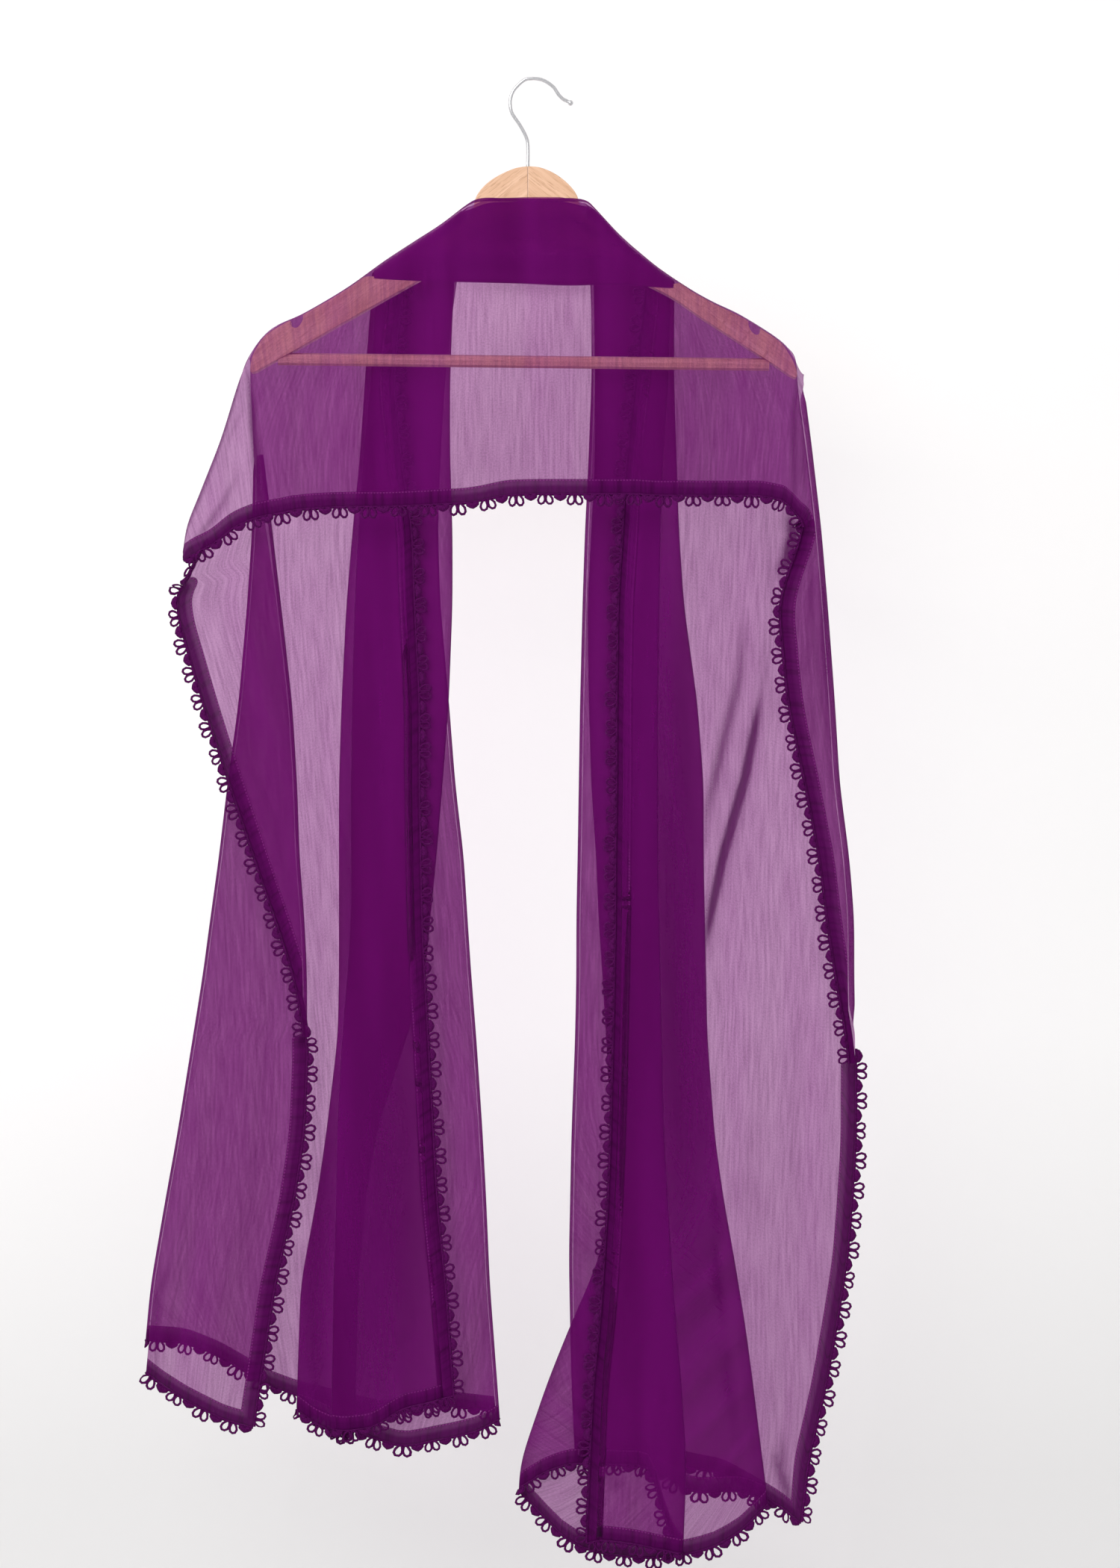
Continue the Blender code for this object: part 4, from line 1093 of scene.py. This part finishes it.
def chiffon_material(settings, group):
    """Sheer crinkled chiffon: tinted where light passes, denser at hems and creases, with painted shade in
    folds, creases and the hem's gathers.
    """
    nodes, cloth = new_finish("purple chiffon")
    uv = nodes.add("UVMap", uv_map="UVMap")[0]
    marks = ("side_hem", "foot_hem", "crease_and_shade")
    side, foot, crease_and_shade = [nodes.add("Attribute", attribute_name=name)["Fac"] for name in marks]

    # The hem, its inner stripe, its rim and its row of stitches, in millimetres
    # from the nearest edge.
    nearest = nodes.math("MINIMUM", side, foot)
    hem = nodes.ramp(nearest, 11.9, 11.1)
    stripe = nodes.ramp(nearest, 5.2, 7.8)
    rim = nodes.ramp(nearest, 1.6, 0.4)
    parts = nodes.add("SeparateXYZ", {0: uv})
    along = nodes.choose(nodes.math("LESS_THAN", side, foot), parts[0], parts[1])
    beat = nodes.math("FRACT", nodes.times(along, 1 / settings.stitch))
    stitch = nodes.times(nodes.math("LESS_THAN", beat, 0.55), nodes.math("COMPARE", nearest, 10.6, 0.45))

    # How much of the light one layer stops.
    drawn = nodes.mapped(uv, (settings.crinkle, settings.crinkle / 16, 1.0))
    crinkle = nodes.waver(drawn, 1.0, 1.5, 0.55)
    slow = nodes.waver(nodes.mapped(uv, (36.0, 2.0, 1.0)), 1.0, 1.0)
    grain = nodes.waver(uv, 760.0, 1.0)
    cover = settings.cover
    for change, part in ((crinkle, 0.085), (grain, 0.05), (slow, 0.035)):
        cover = nodes.math("MULTIPLY_ADD", change, part, cover)
    gaps = nodes.math("SUBTRACT", 1.0, cover)
    gaps = nodes.times(gaps, nodes.ramp(crease_and_shade, 0.0, 1.0, 1.0, 0.12))
    inner = nodes.times(stripe, nodes.ramp(nearest, 10.8, 10.2))
    doubled = nodes.ramp(inner, 0.0, 1.0, settings.hem_open, 0.13)
    gaps = nodes.times(gaps, nodes.choose(hem, 1.0, doubled))
    cover = nodes.math("SUBTRACT", 1.0, gaps, clamp=True)

    # The colour of the threads, with painted light and shade: lit and shaded drifts, and painted shade in
    # the folds and creases, on the hem's rim and in its gathers.
    strand = nodes.strands(group, uv, 900.0, 120.0, 2.2)
    lit = nodes.blend(strand, settings.shade, settings.body)
    drifted = nodes.blend(nodes.ramp(slow, -0.8, 0.8), settings.shade, settings.glow)
    body = nodes.blend(0.6, lit, drifted)
    # Painted shade in the folds and creases.
    deep = nodes.blend(nodes.ramp(crease_and_shade, 0.0, 1.0, 0.0, 0.75), body, settings.painted_fold_shade)
    hem_tone = nodes.blend(nodes.times(stripe, 0.3), settings.hem_colour, settings.body)
    # The hem's rim, where the cloth turns, takes the painted fold shade.
    hem_tone = nodes.blend(rim, hem_tone, settings.painted_fold_shade)
    tone = nodes.blend(hem, deep, hem_tone)
    run = nodes.add("CombineXYZ", {0: along})[0]
    # Painted shade in the hem's gathers, which also dent the bump.
    pucker_and_shade = nodes.times(nodes.ramp(nodes.noise(run, 150.0, 2.0, 0.6), 0.46, 0.74), hem)
    tone = nodes.blend(nodes.times(pucker_and_shade, 0.7), tone, settings.pucker_and_shade)
    tone = nodes.blend(nodes.times(stitch, 0.6), tone, settings.stitch_colour)
    height = nodes.math("MULTIPLY_ADD", stitch, 0.8, crinkle)
    height = nodes.math("MULTIPLY_ADD", pucker_and_shade, -1.5, height)
    nodes.fill(cloth, {
        "Base Color": tone,
        "Roughness": 0.72,
        "Sheen Weight": 0.05,
        "Sheen Roughness": 0.4,
        "Sheen Tint": (0.8, 0.2, 0.8, 1.0),
        "Specular IOR Level": 0.02,
        "Normal": nodes.bump(height, 0.35, 0.0005),
    })

    # Light that the camera doesn't see directly passes almost freely.
    seen = nodes.add("LightPath")["Is Camera Ray"]
    shading = nodes.ramp(seen, 0.0, 1.0, settings.shadow, 1.0)
    tint = nodes.blend(shading, (1.0, 0.985, 1.0), settings.light_through)
    clear = nodes.add("BsdfTransparent", {0: tint})[0]
    nodes.show(nodes.times(cover, shading), clear, cloth.outputs[0])


def lace_material(settings, group):
    """Matt twisted thread, with painted shade between its strands and painted highlights on their high
    points.
    """
    nodes, thread = new_finish("plum lace")
    uv = nodes.add("UVMap", uv_map="thread")[0]
    strand = nodes.strands(group, uv, 2600.0, 700.0, 2.6)
    nodes.fill(thread, {
        "Base Color": nodes.blend(strand, settings.thread_gap_shade, settings.thread),
        "Roughness": nodes.ramp(strand, 0.0, 1.0, 0.85, 0.65),
        "Specular IOR Level": 0.05,
        "Normal": nodes.bump(strand, 0.5, 0.0003),
    })


# One half of the hanger's wood, as the points (across, down) of its crest by the
# neck, how far out its top's points lie before and after the notch, the notch as
# (middle, half its width, depth), the points of its end and underside, and how far
# out the pleats lie on it.
Board = namedtuple("Board", "crest before after notch under pleats_end")
BOARDS = {
    "left": Board(
        ((-3.1, 69.7), (-12, 71), (-21, 74.4), (-29, 78.6), (-35.5, 83.2), (-40.8, 88.6), (-44, 93.4),
         (-45.6, 98), (-47, 104), (-50.5, 111)),
        (58, 70, 84, 98, 112, 124, 134, 142, 150, 160, 171, 178),
        (198, 208, 215),
        (188.2, 5.2, 7.6),
        ((-220.5, 215.2), (-223.8, 222), (-225.6, 230.5), (-225.2, 234.8), (-221, 234.4), (-213, 229.8),
         (-195.5, 220.5), (-178, 210.7), (-160.6, 200.7), (-128.6, 182.7), (-93.7, 163.2), (-60, 145.5),
         (-25, 138), (-3.1, 137)),
        120,
    ),
    "right": Board(
        ((-2.9, 69.7), (6, 70.5), (14, 73.3), (21, 77.1), (27.3, 82), (32.4, 87.2), (36, 92.4), (38, 98),
         (41.5, 109)),
        (50, 60, 72, 84, 96, 108, 118, 128, 138, 148, 158, 168),
        (188, 195, 201),
        (178.6, 5.0, 7.2),
        ((206, 219.5), (210, 226.5), (212.8, 234.5), (212.4, 239.2), (208.5, 238.2), (200, 232.6),
         (191.3, 226.9), (171, 213.8), (152, 201.4), (133.2, 189.1), (112.8, 175), (86.6, 161.5),
         (56, 146), (20, 138), (-2.9, 137)),
        107,
    ),
}


def arm_outline(side):
    """One half of the hanger's wood, as (across, down) points round its edge."""
    board = BOARDS[side]
    sign, panel = {"left": (-1, panels()[0]), "right": (1, panels()[1])}[side]

    def top(away):
        under = 1.0 - smooth((away - board.pleats_end) / 10)
        return sign * away, at_curve(panel.arm, sign * away) + between(1.9, 12.0, under)

    middle, half, deep = board.notch
    notch = []
    for angle in range(0, 181, 20):
        turn = math.radians(angle)
        across, down = top(middle - half * math.cos(turn))
        notch.append((across, down + deep * math.sin(turn)))
    before, after = [[top(away) for away in places] for places in (board.before, board.after)]
    return [*board.crest, *before, *notch, *after, *board.under]


def arm_piece(side, settings):
    """One half of the wood, cut from board and rounded along its edges."""
    outline = refine(arm_outline(side), 3)
    shape = bmesh.new()
    front = -settings.board / 2
    spots = [shape.verts.new((across * MM, front, -down * MM)) for across, down in outline]
    edges = [shape.edges.new((first, second)) for first, second in zip(spots, spots[1:] + spots[:1])]
    bmesh.ops.contextual_create(shape, geom=edges)
    raised = bmesh.ops.extrude_face_region(shape, geom=list(shape.faces))
    back = [part for part in raised["geom"] if isinstance(part, bmesh.types.BMVert)]
    bmesh.ops.translate(shape, vec=(0, settings.board, 0), verts=back)
    bmesh.ops.recalc_face_normals(shape, faces=shape.faces)
    rims = [edge for edge in shape.edges if abs(edge.verts[0].co.y - edge.verts[1].co.y) < 1e-6]
    bmesh.ops.bevel(
        shape, geom=rims, offset=settings.edge, offset_type="OFFSET", segments=4, profile=0.5,
        affect="EDGES", clamp_overlap=True, material=-1,
    )
    bmesh.ops.triangulate(shape, faces=shape.faces)
    for face in shape.faces:
        face.smooth = abs(face.normal.y) < 0.98
    mesh = mesh_from(shape, f"beech_arm_{side}")
    keep_piece(mesh, finish_of(f"beech {side}"), f"hanger_arm_{side}")


def wood_material(name, settings, group, turn, grooves):
    """Pale beech with drawn grain and pores, its edges browner with painted shade, and shallow cross
    grooves drawn as bands of painted shade.
    """
    nodes, wood = new_finish(name)
    spot = nodes.add("TexCoord")["Object"]
    turned = nodes.add("Mapping", {"Vector": spot, "Rotation": (0.0, turn, 0.0)})[0]
    parts = nodes.add("SeparateXYZ", {0: turned})
    lay = nodes.add("CombineXYZ", {0: parts[2], 1: parts[0], 2: parts[1]})[0]
    grain = nodes.strands(group, lay, 260.0, 12.0, 2.4)
    pores = nodes.strands(group, lay, 1400.0, 90.0, 3.2)
    patch = nodes.strands(group, lay, 40.0, 14.0, 2.0)
    tone = nodes.blend(grain, settings.wood_dark, settings.wood_pale)
    tone = nodes.blend(nodes.ramp(patch, 0.55, 0.9, 0.0, 0.35), tone, settings.wood_brown)
    tone = nodes.blend(nodes.ramp(pores, 0.68, 0.95, 0.0, 0.5), tone, settings.wood_brown)
    # Painted shade on the faces turned away from the front, the board's edges.
    facing = nodes.add("SeparateXYZ", {0: nodes.add("NewGeometry")["Normal"]})
    edge = nodes.ramp(nodes.math("ABSOLUTE", facing[1]), 0.92, 0.35)
    tone = nodes.blend(nodes.times(edge, 0.75), tone, settings.wood_side_shade)
    if grooves:
        # Each groove is only a band of painted shade; the shape has no cut there.
        beat = nodes.math("FRACT", nodes.times(parts[0], 1 / GROOVE_PITCH))
        cut = nodes.ramp(nodes.math("COMPARE", beat, 0.5, 0.05), 0.0, 1.0)
        cut = nodes.times(cut, nodes.ramp(grain, 0.35, 0.5))
        placed = nodes.add("SeparateXYZ", {0: spot})[0]
        outer = nodes.times(nodes.ramp(placed, 0.132, 0.136), nodes.ramp(placed, 0.208, 0.204))
        tone = nodes.blend(nodes.times(nodes.times(cut, outer), 0.5), tone, settings.wood_brown)
    nodes.fill(wood, {
        "Base Color": tone,
        "Roughness": nodes.ramp(grain, 0.0, 1.0, 0.5, 0.36),
        "Coat Weight": 0.25,
        "Coat Roughness": 0.2,
        "Normal": nodes.bump(pores, 0.2, 0.0003),
    })


def steel_material(settings, group):
    """Bright plated wire with faint drawing marks."""
    nodes, steel = new_finish("bright steel")
    marks = nodes.strands(group, nodes.add("TexCoord")["Object"], 900.0, 60.0, 2.0)
    nodes.fill(steel, {
        "Base Color": nodes.blend(marks, (0.50, 0.50, 0.52), (0.74, 0.74, 0.76)),
        "Metallic": 1.0,
        "Roughness": nodes.ramp(marks, 0.0, 1.0, settings.steel_rough + 0.1, settings.steel_rough),
    })


def one_sided(name, tint, group):
    """A pale matt finish that is clear from behind, so that it never hides the part."""
    nodes, paint = new_finish(name)
    spot = nodes.add("TexCoord")["Object"]
    cloud = nodes.strands(group, spot, 3.0, 3.0, 1.0)
    tone = nodes.blend(cloud, [value * 0.975 for value in tint], tint)
    height = nodes.add("SeparateXYZ", {0: spot})[2]
    # Painted shade: the paint darkens toward the floor, where less light falls.
    painted_falloff = nodes.ramp(height, -1.16, -0.78)
    nodes.fill(paint, {
        "Base Color": nodes.blend(painted_falloff, [value * 0.84 for value in tint], tone),
        "Roughness": 0.95,
        "Specular IOR Level": 0.1,
    })
    back = nodes.add("NewGeometry")["Backfacing"]
    nodes.show(back, paint.outputs[0], nodes.add("BsdfTransparent")[0])


def tone(name, note, value):
    return bpy.props.FloatVectorProperty(
        name=name, description=note, default=value, min=0, max=1, size=3, subtype="COLOR",
    )


def number(name, note, value, low, high, **kind):
    return bpy.props.FloatProperty(name=name, description=note, default=value, min=low, max=high, **kind)


def length(name, note, value):
    return number(name, note, value, 0.0001, 1, subtype="DISTANCE", unit="LENGTH", precision=4)


def share(name, note, value):
    return number(name, note, value, 0, 1, subtype="FACTOR")


class StoleClothSettings(bpy.types.PropertyGroup):
    cover: share("Cover", "Part of the light that the threads of one layer stop", 0.55)
    shadow: share("Shadow", "How much of its cover a layer keeps where it only casts shade", 0.02)
    hem_open: share("Hem Opening", "How much of the gaps is left where the hem is doubled", 0.03)
    light_through: tone("Light Through", "Colour of light that passes the threads", (0.78, 0.485, 0.755))
    body: tone("Thread", "Colour of the lit chiffon", (0.130, 0.0035, 0.121))
    shade: tone("Thread Shade", "Colour of the threads turned from the light", (0.095, 0.002, 0.088))
    glow: tone("Thread Glow", "Colour of the chiffon where it catches the light", (0.152, 0.0045, 0.148))
    # Painted shade in the folds and creases and on the hem's turned rim.
    painted_fold_shade: tone("Fold", "Colour where the cloth turns over on itself", (0.060, 0.001, 0.057))
    hem_colour: tone("Hem", "Colour of the doubled hem", (0.070, 0.0016, 0.067))
    # Painted shade in the hem's gathers.
    pucker_and_shade: tone("Pucker", "Colour in the hem's gathers", (0.022, 0.0008, 0.020))
    stitch_colour: tone("Stitch", "Colour of the hem's stitching", (0.22, 0.03, 0.20))
    crinkle: number("Crinkle", "Crinkles in each metre across the cloth", 430, 50, 2000)
    stitch: length("Stitch Length", "Length of one stitch and its gap", 0.0026)


class StoleLaceSettings(bpy.types.PropertyGroup):
    repeat: length("Repeat", "Length of one repeat of the edging", 0.0235)
    loop_length: length("Loop Length", "How far a loop stands out from the hem", 0.0086)
    fan_radius: length("Fan Radius", "Radius of a ribbed scallop", 0.0054)
    thread_radius: length("Thread Radius", "Radius of the crochet thread", 0.00098)
    thread: tone("Thread", "Colour of the crochet thread", (0.125, 0.005, 0.120))
    # Painted shade between the strands of the thread.
    thread_gap_shade: tone("Thread Shade", "Colour between the strands", (0.036, 0.0012, 0.035))


class StoleHangerSettings(bpy.types.PropertyGroup):
    wood_pale: tone("Pale Wood", "Lightest grain of the beech", (0.80, 0.51, 0.34))
    wood_dark: tone("Dark Grain", "Darker grain of the beech", (0.63, 0.36, 0.21))
    # Pores and flecks, and the painted shade of the grooves.
    wood_brown: tone("Pores", "Colour of pores, flecks and grooves", (0.42, 0.21, 0.10))
    # Painted shade on the board's edges, the faces turned away from the front.
    wood_side_shade: tone("Edge", "Colour of the worn, oiled edges", (0.36, 0.17, 0.075))
    board: length("Board", "Thickness of the wood", 0.012)
    edge: length("Rounding", "Radius of the wood's rounded edges", 0.0022)
    steel_rough: share("Polish", "Roughness of the bright wire", 0.14)
    wire: length("Wire Radius", "Radius of the hook's wire", 0.0015)
    ball: length("Ball Radius", "Radius of the ball on the hook's tip", 0.0023)


class StoleStageSettings(bpy.types.PropertyGroup):
    wall: tone("Wall", "Colour of the backdrop and floor", (0.95, 0.945, 0.945))
    window: number("Window Light", "Strength of the large soft light", 50, 0, 500, unit="POWER")
    fill: number("Fill", "Strength of the light from all round", 0.78, 0, 5)
    distance: number(
        "Camera Distance", "Distance of the camera from the hanger", 2.8, 1, 10,
        subtype="DISTANCE", unit="LENGTH",
    )


def finish_of(name):
    made = bpy.data.materials.get(name)
    if made is None:
        raise RuntimeError(f"{name} isn't mixed yet")
    return made


def panels():
    """The two hanging sides, from the stole's own tables."""
    return (
        Panel(LEFT_COLUMNS, LEFT_SECTIONS, LEFT_ARM, LEFT_ENDS, 970),
        Panel(RIGHT_COLUMNS, RIGHT_SECTIONS, RIGHT_ARM, RIGHT_ENDS, 1050),
    )


class STOLE_OT_mix_finishes(bpy.types.Operator):
    """Mix the chiffon, lace, wood and steel"""

    bl_idname = "stole.mix_finishes"
    bl_label = "Mix Finishes"

    def execute(self, context):
        scene = context.scene
        group = strand_group()
        chiffon_material(scene.stole_cloth, group)
        lace_material(scene.stole_lace, group)
        wood_material("beech left", scene.stole_hanger, group, math.radians(37), False)
        wood_material("beech right", scene.stole_hanger, group, math.radians(-38), True)
        wood_material("turned bar", scene.stole_hanger, group, 0.0, False)
        steel_material(scene.stole_hanger, group)
        one_sided("backdrop paint", scene.stole_stage.wall, group)
        return {"FINISHED"}


class STOLE_OT_lay_yoke(bpy.types.Operator):
    """Lay the single front layer over both arms"""

    bl_idname = "stole.lay_yoke"
    bl_label = "Lay Yoke"

    def execute(self, context):
        yoke_sheet(finish_of("purple chiffon"))
        return {"FINISHED"}


class STOLE_OT_pleat_collar(bpy.types.Operator):
    """Pleat the band across the front of the hanger's neck"""

    bl_idname = "stole.pleat_collar"
    bl_label = "Pleat Collar"

    def execute(self, context):
        collar_sheet(*panels(), finish_of("purple chiffon"))
        return {"FINISHED"}


class STOLE_OT_hang_bands(bpy.types.Operator):
    """Hang the pleated band behind each arm"""

    bl_idname = "stole.hang_bands"
    bl_label = "Hang Pleated Bands"

    def execute(self, context):
        left, right = panels()
        band_sheet(left, "band_left", finish_of("purple chiffon"))
        band_sheet(right, "band_right", finish_of("purple chiffon"))
        return {"FINISHED"}


class STOLE_OT_hang_left(bpy.types.Operator):
    """Hang the outer sheet on the left, folded forward twice at its side"""

    bl_idname = "stole.hang_left"
    bl_label = "Hang Left Sheets"

    def execute(self, context):
        left, right = panels()
        chiffon = finish_of("purple chiffon")
        pleat = FOLD_RADIUS + 0.6
        shut = (296, 2000)
        back = Sheet("fold_2", "fold_3", "back", FOLD_RADIUS, pleat, back_left_depth, tuck_depth, shut)
        single_sheet(left, "back_left", back, left.rows(), chiffon, flats=70)
        tuck = Sheet("fold_1", "fold_2", "tuck", FOLD_RADIUS, pleat, tuck_depth, flap_depth, (0, 755))
        single_sheet(left, "tuck_left", tuck, left.rows(first=300), chiffon, hem_from=756, flats=44)
        flap = Sheet("turn", "fold_1", "tuck", 4.0, pleat, flap_depth, yoke_side_depth, (0, 370))
        rows = left.rows(first=330, last=769)
        single_sheet(left, "flap_left", flap, rows, chiffon, hem_from=376, flats=34, top=YOKE_HEM)
        return {"FINISHED"}


class STOLE_OT_hang_right(bpy.types.Operator):
    """Hang the outer sheet on the right, folded forward once at its side"""

    bl_idname = "stole.hang_right"
    bl_label = "Hang Right Sheets"

    def execute(self, context):
        left, right = panels()
        chiffon = finish_of("purple chiffon")
        pleat = FOLD_RADIUS + 0.6
        back = Sheet("turn", "fold_3", "back", 5.0, pleat, back_right_depth, front_depth, (240, 740))
        single_sheet(right, "back_right", back, right.rows(), chiffon, hem_from=778, flats=120)
        flap = Sheet("edge", "turn", "back", 5.0, 5.6, front_depth, front_depth, (0, 0))
        rows = right.rows(first=354, last=790)
        single_sheet(right, "flap_right", flap, rows, chiffon, hem_from=0, first="edge", flats=24)
        return {"FINISHED"}


class STOLE_OT_sew_lace(bpy.types.Operator):
    """Sew the crochet edging along every hem"""

    bl_idname = "stole.sew_lace"
    bl_label = "Sew Lace"

    def execute(self, context):
        if not borders:
            raise RuntimeError("the hems come before the lace")
        for name in sorted(borders):
            lace_piece(name, context.scene.stole_lace, finish_of("plum lace"))
        return {"FINISHED"}


class STOLE_OT_bend_hook(bpy.types.Operator):
    """Bend the hook's wire and put the ball on its tip"""

    bl_idname = "stole.bend_hook"
    bl_label = "Bend Hook"

    def execute(self, context):
        settings = context.scene.stole_hanger
        route = refine([(across, 0.0, -down) for across, down in HOOK_ROUTE], 6) * MM
        line = bpy.data.curves.new("hook_line", "CURVE")
        line.dimensions = "3D"
        line.bevel_depth = settings.wire
        line.bevel_resolution = 6
        line.use_fill_caps = True
        spline = line.splines.new("POLY")
        spline.points.add(len(route) - 1)
        for point, place in zip(spline.points, route):
            point.co = (*place, 1.0)
        former = bpy.data.objects.new("hook_former", line)
        context.scene.collection.objects.link(former)
        graph = context.evaluated_depsgraph_get()
        mesh = bpy.data.meshes.new_from_object(former.evaluated_get(graph))
        bpy.data.objects.remove(former)
        mesh.name = "hook_bent_wire"
        mesh.materials.clear()
        for face in mesh.polygons:
            face.use_smooth = True
        keep_piece(mesh, finish_of("bright steel"), "hook_wire")

        tip = Vector((HOOK_TIP[0], 0.0, -HOOK_TIP[1])) * MM
        way = (tip - Vector(route[-1])).normalized()
        shape = bmesh.new()
        radius = settings.ball
        low = -radius - 0.00045
        profile = [shape.verts.new((out, 0, low)) for out in (0, settings.wire * 0.95)]
        for step in range(3, 17):
            angle = math.pi * step / 16
            profile.append(shape.verts.new((radius * math.sin(angle), 0, -radius * math.cos(angle))))
        edges = [shape.edges.new(pair) for pair in zip(profile, profile[1:])]
        spin(shape, profile + edges, math.tau, 24)
        bmesh.ops.remove_doubles(shape, verts=shape.verts, dist=1e-6)
        bmesh.ops.recalc_face_normals(shape, faces=shape.faces)
        turn = Vector((0, 0, 1)).rotation_difference(way).to_matrix().to_4x4()
        bmesh.ops.transform(shape, matrix=Matrix.Translation(tip) @ turn, verts=shape.verts)
        for face in shape.faces:
            face.smooth = True
        keep_piece(mesh_from(shape, "hook_ball"), finish_of("bright steel"), "hook_tip")
        return {"FINISHED"}


class STOLE_OT_finish_wood(bpy.types.Operator):
    """Cut the arms and give them and the bar their grain"""

    bl_idname = "stole.finish_wood"
    bl_label = "Finish Wood"

    def execute(self, context):
        for side in ("left", "right"):
            arm_piece(side, context.scene.stole_hanger)
        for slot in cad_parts["hanger_bar"].material_slots:
            slot.material = finish_of("turned bar")
        return {"FINISHED"}


class STOLE_OT_set_stage(bpy.types.Operator):
    """Put up the backdrop, floor, lights and camera"""

    bl_idname = "stole.set_stage"
    bl_label = "Set Stage"

    def execute(self, context):
        scene = context.scene
        settings = scene.stole_stage
        paint = finish_of("backdrop paint")
        for name, size, place, turn in (
            ("backdrop", (7.0, 5.2), (0.0, 0.2, 0.9), math.radians(90)),
            ("studio_floor", (7.0, 6.0), (0.0, -2.8, -1.7), 0.0),
        ):
            shape = bmesh.new()
            bmesh.ops.create_grid(shape, x_segments=8, y_segments=8, size=0.5)
            stretch = Matrix.Diagonal((size[0], size[1], 1.0, 1.0))
            stand = Matrix.Translation(place) @ Matrix.Rotation(turn, 4, "X")
            bmesh.ops.transform(shape, matrix=stand @ stretch, verts=shape.verts)
            mesh = mesh_from(shape, name)
            mesh.materials.append(paint)
            piece = bpy.data.objects.new(name, mesh)
            scene.collection.objects.link(piece)

        light = bpy.data.lights.new("window_light", "AREA")
        light.shape = "RECTANGLE"
        light.size, light.size_y = 2.4, 1.8
        light.energy = settings.window
        light.color = (1.0, 0.99, 0.975)
        lamp = bpy.data.objects.new("window_light", light)
        lamp.location = (-1.3, -2.1, 1.2)
        aim = Vector((0.0, 0.0, -0.15)) - lamp.location
        lamp.rotation_euler = aim.to_track_quat("-Z", "Y").to_euler()
        scene.collection.objects.link(lamp)

        world = bpy.data.worlds.new("pale_room")
        world.use_nodes = True
        sky = world.node_tree.nodes["Background"]
        sky.inputs["Color"].default_value = (1.0, 0.995, 1.0, 1.0)
        sky.inputs["Strength"].default_value = settings.fill
        scene.world = world
        scene.view_settings.view_transform = "Standard"

        lens = bpy.data.cameras.new("photo_camera")
        lens.lens = 80
        lens.sensor_width = 36
        camera = bpy.data.objects.new("photo_camera", lens)
        camera.location = (PHOTO_CENTRE[0], -settings.distance, PHOTO_CENTRE[1])
        camera.rotation_euler = (math.radians(90), 0, 0)
        scene.collection.objects.link(camera)
        scene.camera = camera
        return {"FINISHED"}


# Each sheet's cut: its width and length in metres, its flat area in square metres,
# how it is held, and what it hangs from.
Cut = namedtuple("Cut", "flat area held rests_on")
CUTS = {
    "yoke_front": Cut((0.50, 0.28), 0.093, "draped", ("beech_arm_left", "beech_arm_right")),
    "collar_band": Cut((0.25, 0.24), 0.043, "folded", ("beech_arm_left", "beech_arm_right")),
    "band_left": Cut((0.30, 1.00), 0.287, "folded", ("beech_arm_left",)),
    "band_right": Cut((0.34, 1.09), 0.333, "folded", ("beech_arm_right",)),
    "back_left": Cut((0.22, 0.98), 0.187, "hung", ("beech_arm_left",)),
    "tuck_left": Cut((0.13, 0.79), 0.054, "hung", ("beech_arm_left",)),
    "flap_left": Cut((0.10, 0.44), 0.023, "hung", ("beech_arm_left",)),
    "back_right": Cut((0.23, 1.07), 0.206, "hung", ("beech_arm_right",)),
    "flap_right": Cut((0.055, 0.44), 0.0095, "hung", ("beech_arm_right",)),
}


class STOLE_OT_declare_cloth(bpy.types.Operator):
    """Check that every sheet of chiffon has its cut in the table"""

    bl_idname = "stole.declare_cloth"
    bl_label = "Declare Cloth"

    def execute(self, context):
        if set(sheets) != set(CUTS):
            raise RuntimeError("the cuts and the sheets differ")
        return {"FINISHED"}


class STOLE_PT_pieces(bpy.types.Panel):
    bl_label = "Stole on a Hanger"
    bl_idname = "STOLE_PT_pieces"
    bl_space_type = "VIEW_3D"
    bl_region_type = "UI"
    bl_category = "Stole"

    def draw(self, context):
        layout = self.layout
        for operator in OPERATORS:
            layout.operator(operator.bl_idname)
        for key in SETTINGS:
            box = layout.box()
            settings = getattr(context.scene, key)
            for name in settings.bl_rna.properties.keys():
                if name not in ("rna_type", "name"):
                    box.prop(settings, name)


SETTINGS = {
    "stole_cloth": StoleClothSettings,
    "stole_lace": StoleLaceSettings,
    "stole_hanger": StoleHangerSettings,
    "stole_stage": StoleStageSettings,
}
OPERATORS = (
    STOLE_OT_mix_finishes, STOLE_OT_set_stage, STOLE_OT_lay_yoke, STOLE_OT_pleat_collar,
    STOLE_OT_hang_bands, STOLE_OT_hang_left, STOLE_OT_hang_right, STOLE_OT_sew_lace,
    STOLE_OT_finish_wood, STOLE_OT_bend_hook, STOLE_OT_declare_cloth,
)


def register():
    for group in SETTINGS.values():
        bpy.utils.register_class(group)
    for operator in OPERATORS:
        bpy.utils.register_class(operator)
    bpy.utils.register_class(STOLE_PT_pieces)
    for key, group in SETTINGS.items():
        setattr(bpy.types.Scene, key, bpy.props.PointerProperty(type=group))


def unregister():
    for key in SETTINGS:
        delattr(bpy.types.Scene, key)
    bpy.utils.unregister_class(STOLE_PT_pieces)
    for operator in reversed(OPERATORS):
        bpy.utils.unregister_class(operator)
    for group in SETTINGS.values():
        bpy.utils.unregister_class(group)


def main():
    register()
    bpy.ops.stole.mix_finishes()
    bpy.ops.stole.set_stage()
    bpy.ops.stole.lay_yoke()
    bpy.ops.stole.pleat_collar()
    bpy.ops.stole.hang_bands()
    bpy.ops.stole.hang_left()
    bpy.ops.stole.hang_right()
    bpy.ops.stole.sew_lace()
    bpy.ops.stole.finish_wood()
    bpy.ops.stole.bend_hook()
    bpy.ops.stole.declare_cloth()


if __name__ == "__main__":
    main()
